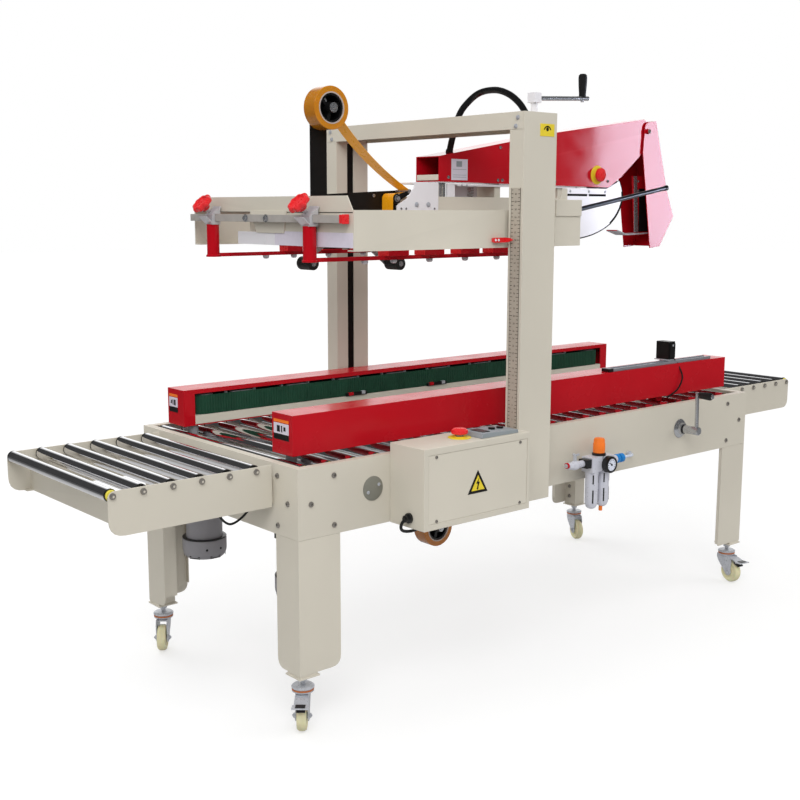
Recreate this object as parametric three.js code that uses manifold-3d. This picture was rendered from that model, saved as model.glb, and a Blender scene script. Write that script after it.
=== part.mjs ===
// Carton sealer: a roller bed on four castered legs, two side belt units whose spacing is set by a crank,
// and a gantry that carries a height-adjustable head with side guides, a tape cartridge and a flap kicker.
// Millimetres, +Z up. X runs along the bed and the near side is -Y. Everything is drawn from a point on the
// floor under the centre of the bed, and the whole machine is then centred over the origin.
import * as THREE from 'three';
import { mergeVertices } from 'three/addons/utils/BufferGeometryUtils.js';
import Module from 'manifold-3d';

const wasm = await Module();
wasm.setup();

// ---------- driving dimensions ----------
const SHEET = 3; // folded sheet thickness
const GAP = 0.4; // clearance between pieces that would touch
const BED = { end: 923, side: 373, top: 655, bottom: 480, flange: 22 };
const LEG = { width: 125, endWidth: 93, foot: 132, sheetFoot: 142, tube: 50, tubeTop: 610, radius: 28 };
const LIP = { end: 39, side: 12 }; // flanges turned in along the free edges of the leg sheets
const CASTER = { radius: 37.5, width: 24, trail: 24, axle: 6, height: LEG.foot - GAP };
const ROLLER = { radius: 15, pitch: 75, axle: 6, height: 640 };
const TABLE = { side: 276, top: 651, bottom: 547, standoff: 7 };
const OUTFEED = { end: -1358, first: -974, pitch: -74.5, count: 6, radius: 40 };
const INFEED = { end: 1341, first: 1044.5, pitch: 70.6, count: 5, radius: 30 };
const BELT_UNIT = { start: -884, end: 900, inner: 213, outer: 299, bottom: 668, top: 768, post: 35 };
const BELT = { radius: 40, thickness: 5, bottom: 697, top: 749, y: 252 };
const MOTOR = { x: -820, y: 230, radius: 52, cap: 62, bottom: 287, top: 560 };
const MOTOR_SHAFT = { x: -843.5, y: 235 };
const COLUMN = { x: [-232, -107], inner: BED.side + GAP, outer: 425, bottom: 468, top: 1509 };
const SLOT = { x: [-189, -165], z: [700, 1460] };
const BEAM_BOTTOM = 1464;
const LIFT_SCREW = { x: -168, y: -398, radius: 8, bottom: 720, armZ: 1553 };
const WIDTH_SCREW = { x: 558, z: 575, radius: 10, armY: -437 };
const CRANK = { reach: { lift: 190, width: 115 }, arm: 6, grip: 11 };
const BOX = { x: [-640, -268], y: [-502, -BED.side - GAP], z: [479, 684], cover: [-625, -278, 494, 667] };
const STOP_BOX = [-465, -440, BOX.z[1]];
const AIR = { y: -416, z: 543, filterX: 86, regulatorX: 134, knobX: 115 };
const HEAD = { front: -745, side: 365, bottom: 1158, top: 1256 };
const BAR = { x: -758, z: 1234.5, size: 19, reach: 350 };
const GUIDE = { nearY: -212, farY: 238, tubeRadius: 17, bottom: 1128, railEnd: -65 };
const ARM = { half: 50, pivotX: 751, pivotZ: 1517 };
const STOP_ARM = [505, -ARM.half, 1369];
const TAPE = { x: -550, y: 0, z: 1524, radius: 57, half: 25, hub: 8 };
const TAPE_PIN = { x: -322, z: 1288, radius: 5 };
const SWING = { frontX: -520, rearX: -420, z: 1186, pin: 7, roller: 18, span: [-40, 16] };
const LOWER_TAPE = { x: -155, z: 303 };

// ---------- materials ----------
const finish = (color, roughness, metalness = 0) =>
  new THREE.MeshStandardMaterial({ color, roughness, metalness });
const beigePaint = () => finish('#cdc8b9', 0.45);
const redPaint = () => finish('#b0121c', 0.25);
const blackPaint = () => finish('#161616', 0.5);
const whitePaint = () => finish('#e4e3e6', 0.35);
const greyPaint = () => finish('#6e6c70', 0.45);
const chrome = () => finish('#d8dadd', 0.12, 1);
const zinc = () => finish('#b4b8be', 0.35, 1);
const blackRubber = () => finish('#1b1b1b', 0.8);
const creamNylon = () => finish('#ddd3ac', 0.5);
const greenRubber = () => finish('#235037', 0.75);
const redPlastic = () => finish('#e02a30', 0.35);
const orangePlastic = () => finish('#f5822a', 0.4);
const amberTape = () => finish('#cd8719', 0.2);

// ---------- solids ----------
// A closed three.js geometry as a manifold-3d solid.
function solid(geometry) {
  const bare = geometry.index ? geometry.toNonIndexed() : geometry.clone();
  bare.deleteAttribute('normal');
  bare.deleteAttribute('uv');
  const merged = mergeVertices(bare, 1e-3);
  const vertProperties = merged.attributes.position.array;
  const triVerts = new Uint32Array(merged.index.array);
  return new wasm.Manifold(new wasm.Mesh({ numProp: 3, vertProperties, triVerts }));
}

function geometryOf(manifold) {
  const mesh = manifold.getMesh();
  const geometry = new THREE.BufferGeometry();
  geometry.setAttribute('position', new THREE.BufferAttribute(new Float32Array(mesh.vertProperties), 3));
  geometry.setIndex(new THREE.BufferAttribute(new Uint32Array(mesh.triVerts), 1));
  geometry.computeVertexNormals();
  return geometry;
}

const join = (...parts) => geometryOf(parts.map(solid).reduce((all, next) => all.add(next)));
const cut = (body, ...tools) =>
  geometryOf(tools.map(solid).reduce((left, tool) => left.subtract(tool), solid(body)));

// A box between two values on each axis, in either order.
function box(x, y, z) {
  const spans = [x, y, z].map(([a, b]) => [Math.min(a, b), Math.max(a, b)]);
  const geometry = new THREE.BoxGeometry(...spans.map(([a, b]) => b - a));
  return geometry.translate(...spans.map(([a, b]) => (a + b) / 2));
}

// A round bar along axis from one value to another; the value of centre on that axis is ignored.
function rod(axis, radius, [from, to], centre, segments = 14) {
  const geometry = new THREE.CylinderGeometry(radius, radius, Math.abs(to - from), segments);
  if (axis === 'x') geometry.rotateZ(-Math.PI / 2);
  if (axis === 'z') geometry.rotateX(Math.PI / 2);
  const place = [...centre];
  place['xyz'.indexOf(axis)] = (from + to) / 2;
  return geometry.translate(...place);
}

// A round bar between two points.
function strut(start, end, radius, segments = 10) {
  const [a, b] = [new THREE.Vector3(...start), new THREE.Vector3(...end)];
  const along = b.clone().sub(a);
  const up = new THREE.Vector3(0, 1, 0);
  const turn = new THREE.Quaternion().setFromUnitVectors(up, along.clone().normalize());
  const middle = a.add(b).multiplyScalar(0.5);
  const geometry = new THREE.CylinderGeometry(radius, radius, along.length(), segments);
  return geometry.applyQuaternion(turn).translate(middle.x, middle.y, middle.z);
}

// A closed outline through [a, b] or, with a rounded corner, [a, b, radius].
function outline(points) {
  const shape = new THREE.Shape();
  const toward = ([a, b], [c, d], distance) => {
    const share = distance / Math.hypot(c - a, d - b);
    return [a + (c - a) * share, b + (d - b) * share];
  };
  points.forEach((point, i) => {
    const [a, b, radius = 0] = point;
    const start = toward(point, points.at(i - 1), radius);
    if (i === 0) shape.moveTo(...start);
    else shape.lineTo(...start);
    if (radius) shape.quadraticCurveTo(a, b, ...toward(point, points[(i + 1) % points.length], radius));
  });
  shape.closePath();
  return shape;
}

const extrude = (shape, depth, curveSegments = 5) =>
  new THREE.ExtrudeGeometry(shape, { depth, bevelEnabled: false, curveSegments });

// A sheet whose outline is drawn as [x, z] and whose thickness spans y.
const sheetXZ = (points, [a, b]) =>
  extrude(outline(points), Math.abs(b - a)).rotateX(Math.PI / 2).translate(0, Math.max(a, b), 0);

// A sheet whose outline is drawn as [y, z] and whose thickness spans x.
function sheetYZ(points, [a, b]) {
  const basis = [new THREE.Vector3(0, 1, 0), new THREE.Vector3(0, 0, 1), new THREE.Vector3(1, 0, 0)];
  const turn = new THREE.Matrix4().makeBasis(...basis);
  return extrude(outline(points), Math.abs(b - a)).applyMatrix4(turn).translate(Math.min(a, b), 0, 0);
}

const machine = new THREE.Group();

function add(parent, name, geometry, material, x = 0, y = 0, z = 0) {
  const mesh = new THREE.Mesh(geometry, material);
  mesh.name = name;
  mesh.position.set(x, y, z);
  parent.add(mesh);
  return mesh;
}

const SIDES = [['near', -1], ['far', 1]];

// ---------- bed, legs and tables ----------
// Folded tray, open below, with closed ends, a flange round its top opening, a lower flange on each side,
// two cross members and a hole for the width screw.
function bedFrame() {
  const { end, side, top, bottom, flange } = BED;
  const [innerEnd, innerSide] = [end - SHEET, side - SHEET];
  const [mouthEnd, mouthSide] = [end - flange, side - flange];
  const bond = SHEET / 2;
  const tray = cut(
    box([-end, end], [-side, side], [bottom, top]),
    box([-innerEnd, innerEnd], [-innerSide, innerSide], [bottom - 1, top - SHEET]),
    box([-mouthEnd, mouthEnd], [-mouthSide, mouthSide], [bottom, top + 1]),
  );
  const lipEnd = end - LEG.width - 8;
  const lips = [-1, 1].map((s) =>
    box([-lipEnd, lipEnd], [s * mouthSide, s * (innerSide + bond)], [bottom + 1, bottom + 1 + SHEET]));
  const reach = [-innerSide - bond, innerSide + bond];
  const members = [-360, 80].map((x) => box([x, x + 10], reach, [545, 605]));
  const { x, z, radius } = WIDTH_SCREW;
  const screwHole = rod('y', radius + 2, [-side - 5, 5 - innerSide], [x, 0, z]);
  return cut(join(tray, ...lips, ...members), screwHole);
}

// Square tube with a foot plate, clad by a sheet on the long side and, on some legs, one on the end. The free
// edges of the sheets are turned in.
function leg(sx, sy, hasEndSheet, radius) {
  const { end, side, bottom } = BED;
  const { width, endWidth, foot, sheetFoot, tube, tubeTop } = LEG;
  const [outX, outY] = [end - SHEET - GAP, side - SHEET - GAP];
  const seat = bottom - GAP;
  const wall = 4;
  const tubeX = [sx * outX, sx * (outX - tube)];
  const tubeY = [sy * outY, sy * (outY - tube)];
  const plateX = [sx * (end + 2), sx * (outX - tube - 5)];
  const plateY = [sy * (side + 2), sy * (outY - tube - 5)];
  const parts = [
    box(tubeX, tubeY, [foot + wall, tubeTop]),
    box([sx * (end - 1), tubeX[1]], [sy * (side - 1), tubeY[1]], [foot + wall, seat]),
    box(plateX, plateY, [foot, foot + wall]),
    sheetXZ([[sx * end, sheetFoot], [sx * (end - width), sheetFoot, radius], [sx * (end - width), seat],
      [sx * end, seat]], [sy * (side - SHEET), sy * side]),
  ];
  const lipX = [sx * (end - width), sx * (end - width + SHEET)];
  parts.push(box(lipX, [sy * (side - LIP.side), sy * (side - 1)], [sheetFoot + radius, seat]));
  if (hasEndSheet) {
    parts.push(sheetYZ([[sy * side, sheetFoot], [sy * (side - endWidth), sheetFoot, radius],
      [sy * (side - endWidth), seat], [sy * side, seat]], [sx * (end - SHEET), sx * end]));
    const lipY = [sy * (side - endWidth), sy * (side - endWidth + SHEET)];
    parts.push(box([sx * (end - LIP.end), sx * (end - 1)], lipY, [sheetFoot + radius, seat]));
  }
  const boreX = [sx * (outX - wall), sx * (outX - tube + wall)];
  const boreY = [sy * (outY - wall), sy * (outY - tube + wall)];
  return cut(join(...parts), box(boreX, boreY, [foot + 2 * wall, tubeTop + 1]));
}

// Two side plates held off the bed by a bolting block, an end cross plate, and two bolts for each roller.
function tableFrame({ end, first, pitch, count, radius }) {
  const sx = Math.sign(end);
  const { side, top, bottom, standoff } = TABLE;
  const root = sx * (BED.end + GAP + standoff);
  const inside = side - SHEET;
  const parts = [];
  for (const s of [-1, 1]) {
    parts.push(sheetXZ([[root, bottom], [end, bottom, radius], [end, top, 20], [root, top]],
      [s * inside, s * side]));
    parts.push(box([root, end - sx * radius], [s * (side - 20), s * side], [bottom, bottom + SHEET]));
    for (let i = 0; i < count; i += 1) {
      const place = [first + i * pitch, 0, ROLLER.height];
      parts.push(rod('y', ROLLER.axle, [s * (inside - 12), s * (side + 5)], place, 6));
    }
  }
  const blockSide = inside - 4;
  parts.push(box([sx * (BED.end + GAP), root + sx * SHEET], [-blockSide, blockSide], [bottom + 6, 618]));
  parts.push(box([root, root + sx * SHEET], [-inside - 1, inside + 1], [bottom + 6, 618]));
  parts.push(box([end - sx * 60, end - sx * (60 - SHEET)], [-inside - 1, inside + 1], [bottom, 616]));
  return join(...parts);
}

// A conveyor roller with a bore in each end that sits on its bolts.
function tableRoller() {
  const half = TABLE.side - SHEET - 2;
  const centre = [0, 0, 0];
  const bores = [-1, 1].map((s) => rod('y', ROLLER.axle + 1, [s * (half - 14), s * (half + 1)], centre, 8));
  return cut(rod('y', ROLLER.radius, [-half, half], centre, 16), ...bores);
}

// The bed's rollers, held in two side rails. Those over the tape unit are split in two by an open slot.
function bedRollers() {
  const { radius, pitch, axle } = ROLLER;
  const z = BED.top - radius;
  const half = 346;
  const rail = [361, 366];
  const slotHalf = 62;
  const slot = [-340, 70];
  const first = -881;
  const parts = [];
  for (const s of [-1, 1]) {
    parts.push(box([first - 10, -first], [s * rail[0], s * rail[1]], [z - 12, z + 9]));
    parts.push(box(slot, [s * slotHalf, s * (slotHalf + 4)], [z - 12, z + 9]));
  }
  for (let x = first; x < 860; x += pitch) {
    const split = x > slot[0] && x < slot[1];
    parts.push(...(split ? [[-half, -slotHalf - 8], [slotHalf + 8, half]] : [[-half, half]])
      .map((span) => rod('y', radius, span, [x, 0, z], 12)));
    parts.push(...(split ? [[-rail[1], -slotHalf], [slotHalf, rail[1]]] : [[-rail[1], rail[1]]])
      .map((span) => rod('y', axle, span, [x, 0, z], 4)));
  }
  return join(...parts);
}

// ---------- casters ----------
// Swivel fork whose wheel trails towards +X: threaded stem, bearing housing, two side plates and the axle.
function casterFork(hasPedal) {
  const { radius, width, trail, axle, height } = CASTER;
  const gap = width / 2 + 2;
  const plate = 2.5;
  const crown = 2 * radius + 17;
  const parts = [
    rod('z', 6, [crown, height], [0, 0, 0], 6),
    rod('z', 28, [crown, crown + 14], [0, 0, 0], 12),
    box([-27, 30], [-gap - plate, gap + plate], [crown - 5, crown + 0.5]),
    rod('y', axle, [-gap - plate - 5, gap + plate + 5], [trail, 0, radius], 8),
  ];
  for (const s of [-1, 1]) {
    parts.push(sheetXZ([[-27, crown], [-27, crown - 14, 6], [trail - 13, radius - 12, 8],
      [trail + 13, radius - 12, 8], [38, crown - 22, 8], [30, crown]], [s * gap, s * (gap + plate)]));
  }
  if (hasPedal) {
    parts.push(sheetXZ([[20, 84], [38, 84], [66, 76, 4], [84, 78], [83, 81], [66, 80, 4], [40, 88], [20, 88]],
      [-gap - plate, gap + plate]));
  }
  return join(...parts);
}

function casterWheel() {
  const { radius, width, axle } = CASTER;
  const [half, bore] = [width / 2, axle + 0.6];
  const profile = [[bore, -half], [radius - 4, -half], [radius, 5 - half], [radius, half - 5],
    [radius - 4, half], [bore, half], [bore, -half]];
  return new THREE.LatheGeometry(profile.map(([r, y]) => new THREE.Vector2(r, y)), 20);
}

// swivel is the direction in which the wheel trails, in degrees from +X.
function caster(name, sx, sy, swivel, hasPedal) {
  const inset = LEG.tube / 2 + SHEET + GAP;
  const group = new THREE.Group();
  group.position.set(sx * (BED.end - inset), sy * (BED.side - inset), 0);
  group.rotation.z = THREE.MathUtils.degToRad(swivel);
  add(group, `caster_fork_${name}`, casterFork(hasPedal), zinc());
  add(group, `caster_wheel_${name}`, casterWheel(), creamNylon(), CASTER.trail, 0, CASTER.radius);
  machine.add(group);
}

// ---------- side belt units ----------
// C-section cover with its mouth towards the cartons, closed ends, and a foot with the width screw's nut.
function beltHousing(s) {
  const { start, end, inner, outer, bottom, top, post } = BELT_UNIT;
  const across = [s * inner, s * outer];
  const mouth = [s * inner, s * (inner + SHEET)];
  const nutX = WIDTH_SCREW.x;
  const nutY = [s * 240, s * 272];
  const parts = [
    box([start, end], [s * (outer - SHEET), s * outer], [bottom, top]),
    box([start, end], across, [top - SHEET, top]),
    box([start, end], across, [bottom, bottom + SHEET]),
    box([start, end], mouth, [top - 12, top]),
    box([start, end], mouth, [bottom, 695]),
    box([nutX + 8, nutX + 38], nutY, [593, bottom + 1]),
    box([nutX - 23, nutX + 43], nutY, [553, 597]),
  ];
  for (const [x, inward] of [[start, 1], [end, -1]]) {
    parts.push(box([x, x + inward * SHEET], across, [bottom, top]));
    parts.push(box([x, x + inward * post], mouth, [bottom, top]));
  }
  const screwHole = rod('y', WIDTH_SCREW.radius + 1, [s * 230, s * 280], [nutX, 0, WIDTH_SCREW.z]);
  return cut(join(...parts), screwHole);
}

// The drive belt as a closed loop round two vertical pulleys.
function driveBelt(s) {
  const { radius, thickness, bottom, top, y } = BELT;
  const reach = [BELT_UNIT.start + BELT_UNIT.post + radius + 1, BELT_UNIT.end - BELT_UNIT.post - radius - 1];
  const loop = (r) => {
    const shape = new THREE.Shape();
    shape.moveTo(reach[0], y - r);
    shape.lineTo(reach[1], y - r);
    shape.absarc(reach[1], y, r, -Math.PI / 2, Math.PI / 2);
    shape.lineTo(reach[0], y + r);
    shape.absarc(reach[0], y, r, Math.PI / 2, Math.PI * 1.5);
    return shape;
  };
  const shape = loop(radius);
  shape.holes.push(loop(radius - thickness));
  const belt = extrude(shape, top - bottom, 6).translate(0, 0, bottom);
  return s > 0 ? belt : belt.rotateX(Math.PI).translate(0, 0, top + bottom);
}

// Vertical drive motor with a fan cowl at its foot, a gearbox on top and the shaft that enters the belt unit.
function beltMotor(s) {
  const { x, radius, cap, bottom, top } = MOTOR;
  const [shaftX, shaftY] = [MOTOR_SHAFT.x, s * MOTOR_SHAFT.y];
  const axis = [x, s * MOTOR.y, 0];
  const gearbox = { x: [Math.min(x - 45, shaftX - 26), Math.max(x + 45, shaftX + 28)], top: top + 58 };
  return join(
    rod('z', radius, [bottom + 20, top], axis, 24),
    rod('z', cap, [bottom, bottom + 60], axis, 24),
    box(gearbox.x, [s * (MOTOR.y - 50), shaftY + s * 19], [top - 1, gearbox.top]),
    rod('z', 14, [gearbox.top - 1, BELT_UNIT.bottom - GAP], [shaftX, shaftY, 0], 10),
  );
}

// ---------- gantry ----------
const screwAxis = [LIFT_SCREW.x, LIFT_SCREW.y, 0];

// Hollow column, open below, with a slot on its inner face for the head to slide in.
function column(s) {
  const { x, inner, outer, bottom, top } = COLUMN;
  const narrow = [x[0] + SHEET + GAP, x[1] - SHEET - GAP];
  const body = join(
    box(x, [s * inner, s * outer], [bottom, BEAM_BOTTOM - GAP]),
    box(x, [s * (outer - SHEET), s * outer], [bottom, top]),
    box(narrow, [s * inner, s * outer], [BEAM_BOTTOM - 1, top - SHEET - GAP]),
  );
  const hollow = box([x[0] + SHEET, x[1] - SHEET], [s * (inner + SHEET), s * (outer - SHEET)],
    [bottom - 1, BEAM_BOTTOM - SHEET]);
  const slot = box(SLOT.x, [s * (inner - 1), s * (inner + SHEET + 1)], SLOT.z);
  const screwHole = rod('z', LIFT_SCREW.radius + 1, [BEAM_BOTTOM - 10, top + 1], screwAxis);
  return s < 0 ? cut(body, hollow, slot, screwHole) : cut(body, hollow, slot);
}

// Channel across the two columns, open below.
function topBeam() {
  const { x, outer, top } = COLUMN;
  const reach = [-(outer - SHEET - GAP), outer - SHEET - GAP];
  const beam = join(
    box(x, reach, [top - SHEET, top]),
    box([x[0], x[0] + SHEET], reach, [BEAM_BOTTOM, top]),
    box([x[1] - SHEET, x[1]], reach, [BEAM_BOTTOM, top]),
  );
  return cut(beam, rod('z', LIFT_SCREW.radius + 1, [top - 10, top + 1], screwAxis));
}

// Lift screw inside the near column with the hand crank on top of it.
function liftCrank() {
  const { x, y, radius, bottom, armZ } = LIFT_SCREW;
  const { reach, arm, grip } = CRANK;
  const gripAxis = [x + reach.lift, y, 0];
  return join(
    rod('z', radius, [bottom, armZ - 1], [x, y, 0], 16),
    box([x - 9, x + 11], [y - 9, y + 9], [armZ - 11, armZ + 7]),
    rod('x', arm, [x, x + reach.lift + 26], [0, y, armZ], 12),
    rod('z', grip, [armZ + 7.5, armZ + 69], gripAxis, 16),
    rod('z', 5, [armZ - 3, armZ + 12], gripAxis, 12),
  );
}

// Width screw across the bed with the hand crank on its near end.
function widthCrank() {
  const { x, z, radius, armY } = WIDTH_SCREW;
  const { reach, arm, grip } = CRANK;
  const gripAxis = [x - 4, 0, z + reach.width];
  return join(
    rod('y', radius, [armY, BED.side - 13], [x, 0, z], 16),
    rod('y', 13, [armY - 10, armY + 14], [x, 0, z], 16),
    strut([x, armY, z], [x - 4, armY, z + reach.width + 7], arm),
    rod('y', 5, [armY - 20, armY], gripAxis, 12),
    rod('y', grip, [armY - 53, armY - 10], gripAxis, 16),
  );
}

// ---------- electric box and services ----------
function electricBox() {
  const { x, y, z, cover } = BOX;
  const shell = box(x, y, z);
  const hollow = box([x[0] + 2, x[1] - 2], [y[0] + 12, y[1] - 2], [z[0] + 2, z[1] - 2]);
  const mouth = box([cover[0], cover[1]], [y[0] - 1, y[0] + 13], [cover[2], cover[3]]);
  const stopHole = rod('z', 12, [z[1] - 5, z[1] + 5], STOP_BOX);
  return cut(shell, hollow, mouth, stopHole);
}

function boxCover() {
  const [x0, x1, z0, z1] = BOX.cover;
  const sheet = box([x0 + GAP, x1 - GAP], [BOX.y[0] + 1, BOX.y[0] + 4], [z0 + GAP, z1 - GAP]);
  const rim = 20;
  const pan = box([x0 + rim, x1 - rim], [BOX.y[0] + 3, BOX.y[0] + 9], [z0 + rim, z1 - rim]);
  return join(sheet, pan);
}

// Mushroom-headed stop button along +Z, its base plane at the origin; the stem passes down through the panel.
function stopButton() {
  const profile = [[0, -20], [11, -20], [11, 10], [16, 10], [20, 14], [20, 20], [15, 24], [0, 25]];
  return new THREE.LatheGeometry(profile.map(([r, y]) => new THREE.Vector2(r, y)), 16).rotateX(Math.PI / 2);
}

// Filter, regulator and lubricator in line on one pipe, with the pressure gauge and the shut-off valve.
function airUnit() {
  const { y, z, filterX, regulatorX } = AIR;
  return join(
    rod('x', 7, [-24, 160], [0, y, z - 8], 8),
    box([filterX - 34, filterX + 20], [y - 20, y + 20], [z - 28, z + 13]),
    box([regulatorX - 31, regulatorX + 24], [y - 22, y + 19], [z - 29, z + 12]),
    rod('z', 19.4, [z - 140, z - 20], [filterX, y, 0], 16),
    rod('z', 19.4, [z - 140, z - 20], [regulatorX, y, 0], 16),
    rod('z', 6, [z - 156, z - 133], [regulatorX - 5, y, 0], 8),
    rod('y', 24, [y - 40, y - 20], [regulatorX - 6, 0, z - 12], 20),
    rod('x', 12, [150, 226], [0, y, z - 9], 12),
    rod('x', 11, [-30, 0], [0, y, z], 12),
    box([-2, filterX - 30], [y - 16, y + 14], [z - 18, z + 10]),
    box([90, 150], [y + 20, -BED.side - GAP], [z - 20, z + 5]),
  );
}

// ---------- height-adjustable head ----------
// Two side channels, a front plate with its upper band, cross members, hangers for the tape unit,
// carriage plates with tongues into the columns, the spine under the kicker arm and two flap guide rods.
function headFrame() {
  const { front, side, bottom, top } = HEAD;
  const inside = side - SHEET;
  const parts = [
    sheetYZ([[-inside, bottom + 8], [8, bottom + 8], [8, 1250], [inside, 1250], [inside - 24, 1290],
      [24 - inside, 1290], [-inside, 1252]], [front, front + SHEET]),
    sheetYZ([[-92, 1254], [68, 1254], [38, 1197], [-79, 1197]], [front - 4, front + 1]),
    box([-275, -265], [-inside, inside], [1200, 1250]),
    box([55, 65], [-inside, inside], [1170, 1250]),
  ];
  for (const s of [-1, 1]) {
    const channel = [[front, bottom], [-236, bottom], [-236, top, 12], [front, top]];
    parts.push(sheetXZ(channel, [s * inside, s * side]));
    parts.push(box([front, -240], [s * (side - 25), s * side], [bottom, bottom + SHEET]));
    parts.push(box([front, -250], [s * (side - 25), s * side], [top - SHEET, top]));
    parts.push(box([-300, 66], [s * (inside - 4), s * (inside + 0.5)], [bottom, top]));
    parts.push(box([-40, 66], [s * (inside - 4), s * side], [bottom, 1284]));
    parts.push(box([SLOT.x[0] + 3, SLOT.x[1] - 3], [s * (inside - 2), s * 386], [1190, 1250]));
    parts.push(box([-206, -130], [s * 380, s * 416], [1200, 1240]));
    parts.push(box([front + 1, -265], [s * 80, s * (80 + SHEET)], [1190, 1250]));
    parts.push(strut([60, s * (side - 6), 1258], [458, s * (side - 6), 1323], 6));
  }
  parts.push(box([-262, 430], [-45, 45], [1291, 1294]), box([-262, -259], [-45, 45], [1246, 1294]));
  parts.push(...[-45, 42].map((y) => box([-262, 430], [y, y + SHEET], [1246, 1294])));
  for (const x of [-172, 60, 340]) parts.push(box([x - 12, x + 12], [-40, 40], [1293, 1329]));
  const screwHole = rod('z', LIFT_SCREW.radius + 1, [1190, 1250], screwAxis);
  return cut(join(...parts), screwHole);
}

// Square cross bar in front of the head, with an end cap on each end.
function crossBar() {
  const half = BAR.size / 2;
  const span = (inset) => [BAR.z - half + inset, BAR.z + half - inset];
  const x = (inset) => [BAR.x - half + inset, HEAD.front - 4 - GAP - inset];
  return box(x(0), [-BAR.reach, BAR.reach], span(0));
}

// Clamp round the cross bar, drop tube, guide rail running back under the head, and its support brackets.
function sideGuide(s) {
  const { tubeRadius, bottom, railEnd } = GUIDE;
  const y = s < 0 ? GUIDE.nearY : GUIDE.farY;
  const half = BAR.size / 2;
  const [x0, x1] = [BAR.x - half, HEAD.front - 4 - GAP];
  const block = [[x0 - 9, 1216], [x1 - 0.5, 1216], [x1 - 0.5, 1257], [x0 + 6, 1257], [x0 - 9, 1242]];
  const clamp = join(
    sheetXZ(block, [y - 24, y + 24]),
    rod('z', tubeRadius, [bottom, 1219], [BAR.x - 5.5, y, 0], 16),
    box([BAR.x - 20, railEnd], [y - 5, y + 5], [bottom, bottom + 11]),
    ...[-528, -402, -270, -147].map((x) => box([x, x + 70], [y - 20, y + 20], [bottom + 10, 1157])),
  );
  const barHole = box([x0 - GAP, x1 + 5], [y - 30, y + 30], [BAR.z - half - GAP, BAR.z + half + GAP]);
  return cut(clamp, barHole);
}

// Star knob whose screw points at the bar; drawn along +Z with the screw's tip at the origin.
function clampKnob() {
  const lobes = 8;
  const shape = new THREE.Shape();
  const steps = lobes * 4;
  for (let i = 0; i < steps; i += 1) {
    const angle = (i / steps) * 2 * Math.PI;
    const r = 29 + 2 * Math.cos(lobes * angle);
    if (i === 0) shape.moveTo(r, 0);
    else shape.lineTo(r * Math.cos(angle), r * Math.sin(angle));
  }
  shape.closePath();
  return join(
    extrude(shape, 16).translate(0, 0, 32),
    rod('z', 15, [20, 33], [0, 0, 0], 16),
    rod('z', 4, [6.6, 21], [0, 0, 0], 10),
  );
}

// ---------- tape cartridge ----------
// Side plate with the roll's arm, hub pin, roller pins, swing-arm pins, and spacers to the head's hanger.
function tapeHead() {
  const plate = sheetXZ([[-583, 1540, 12], [-529, 1540, 12], [-529, 1299], [-272, 1312, 6], [-272, 1292, 6],
    [-296, 1180], [-400, 1150], [-560, 1150], [-583, 1180]], [27, 31]);
  const pins = [
    [TAPE.x, TAPE.z, TAPE.hub, -34],
    [SWING.frontX, SWING.z, SWING.pin, -28],
    [SWING.rearX, SWING.z, SWING.pin, -28],
    [TAPE_PIN.x, TAPE_PIN.z, TAPE_PIN.radius, -28],
  ];
  return join(
    plate,
    ...pins.map(([x, z, r, y]) => rod('y', r, [y, 29], [x, 0, z], 10)),
    ...[-540, -320].map((x) => rod('y', 6, [29, 80 - GAP], [x, 0, 1220], 6)),
  );
}

function tapeRoll() {
  const body = rod('y', TAPE.radius, [-TAPE.half, TAPE.half], [0, 0, 0], 28);
  return cut(body, rod('y', TAPE.hub + 0.6, [-30, 30], [0, 0, 0], 12));
}

function tapeGuideRoller() {
  const body = rod('y', 14, [-26, 24], [0, 0, 0], 20);
  return cut(body, rod('y', TAPE_PIN.radius + 0.6, [-30, 30], [0, 0, 0], 14));
}

// Swing arm drawn from its pivot at the origin to the roller that it carries at (x, z).
function applicator(x, z) {
  const length = Math.hypot(x, z);
  const [ax, az] = [x / length, z / length];
  const edge = (along, across) => [ax * along - az * across, az * along + ax * across];
  const arm = sheetXZ([edge(-13, -13), edge(length + 8, -9), edge(length + 8, 9), edge(-13, 13)], [19, 24]);
  const body = join(
    arm,
    rod('y', SWING.roller, SWING.span, [x, 0, z], 16),
    rod('y', 5, [SWING.span[1] - 1, 22], [x, 0, z], 8),
    rod('y', 12, [12, 24], [0, 0, 0], 12),
  );
  return cut(body, rod('y', SWING.pin + 0.8, [-30, 30], [0, 0, 0], 10));
}

// Tape unit in the bed: the same plate turned over, with its roll below.
function lowerTapeHead() {
  const plate = sheetXZ([[-330, 640], [55, 640], [55, 560], [-60, 520], [-125, 290, 10], [-180, 290, 10],
    [-200, 520], [-330, 560]], [29, 33]);
  return join(
    plate,
    rod('y', TAPE.hub, [-34, 31], [LOWER_TAPE.x, 0, LOWER_TAPE.z], 14),
    ...[[-260, 628, 20], [-20, 628, 20]].map(([x, z, r]) => rod('y', r, [-25, 31], [x, 0, z], 20)),
    ...[-345, 70].map((x) => box([x - 4.6, x + 9.6], [25, 45], [560, 600])),
    box([-342, 66], [31, 40], [570, 590]),
  );
}

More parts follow.
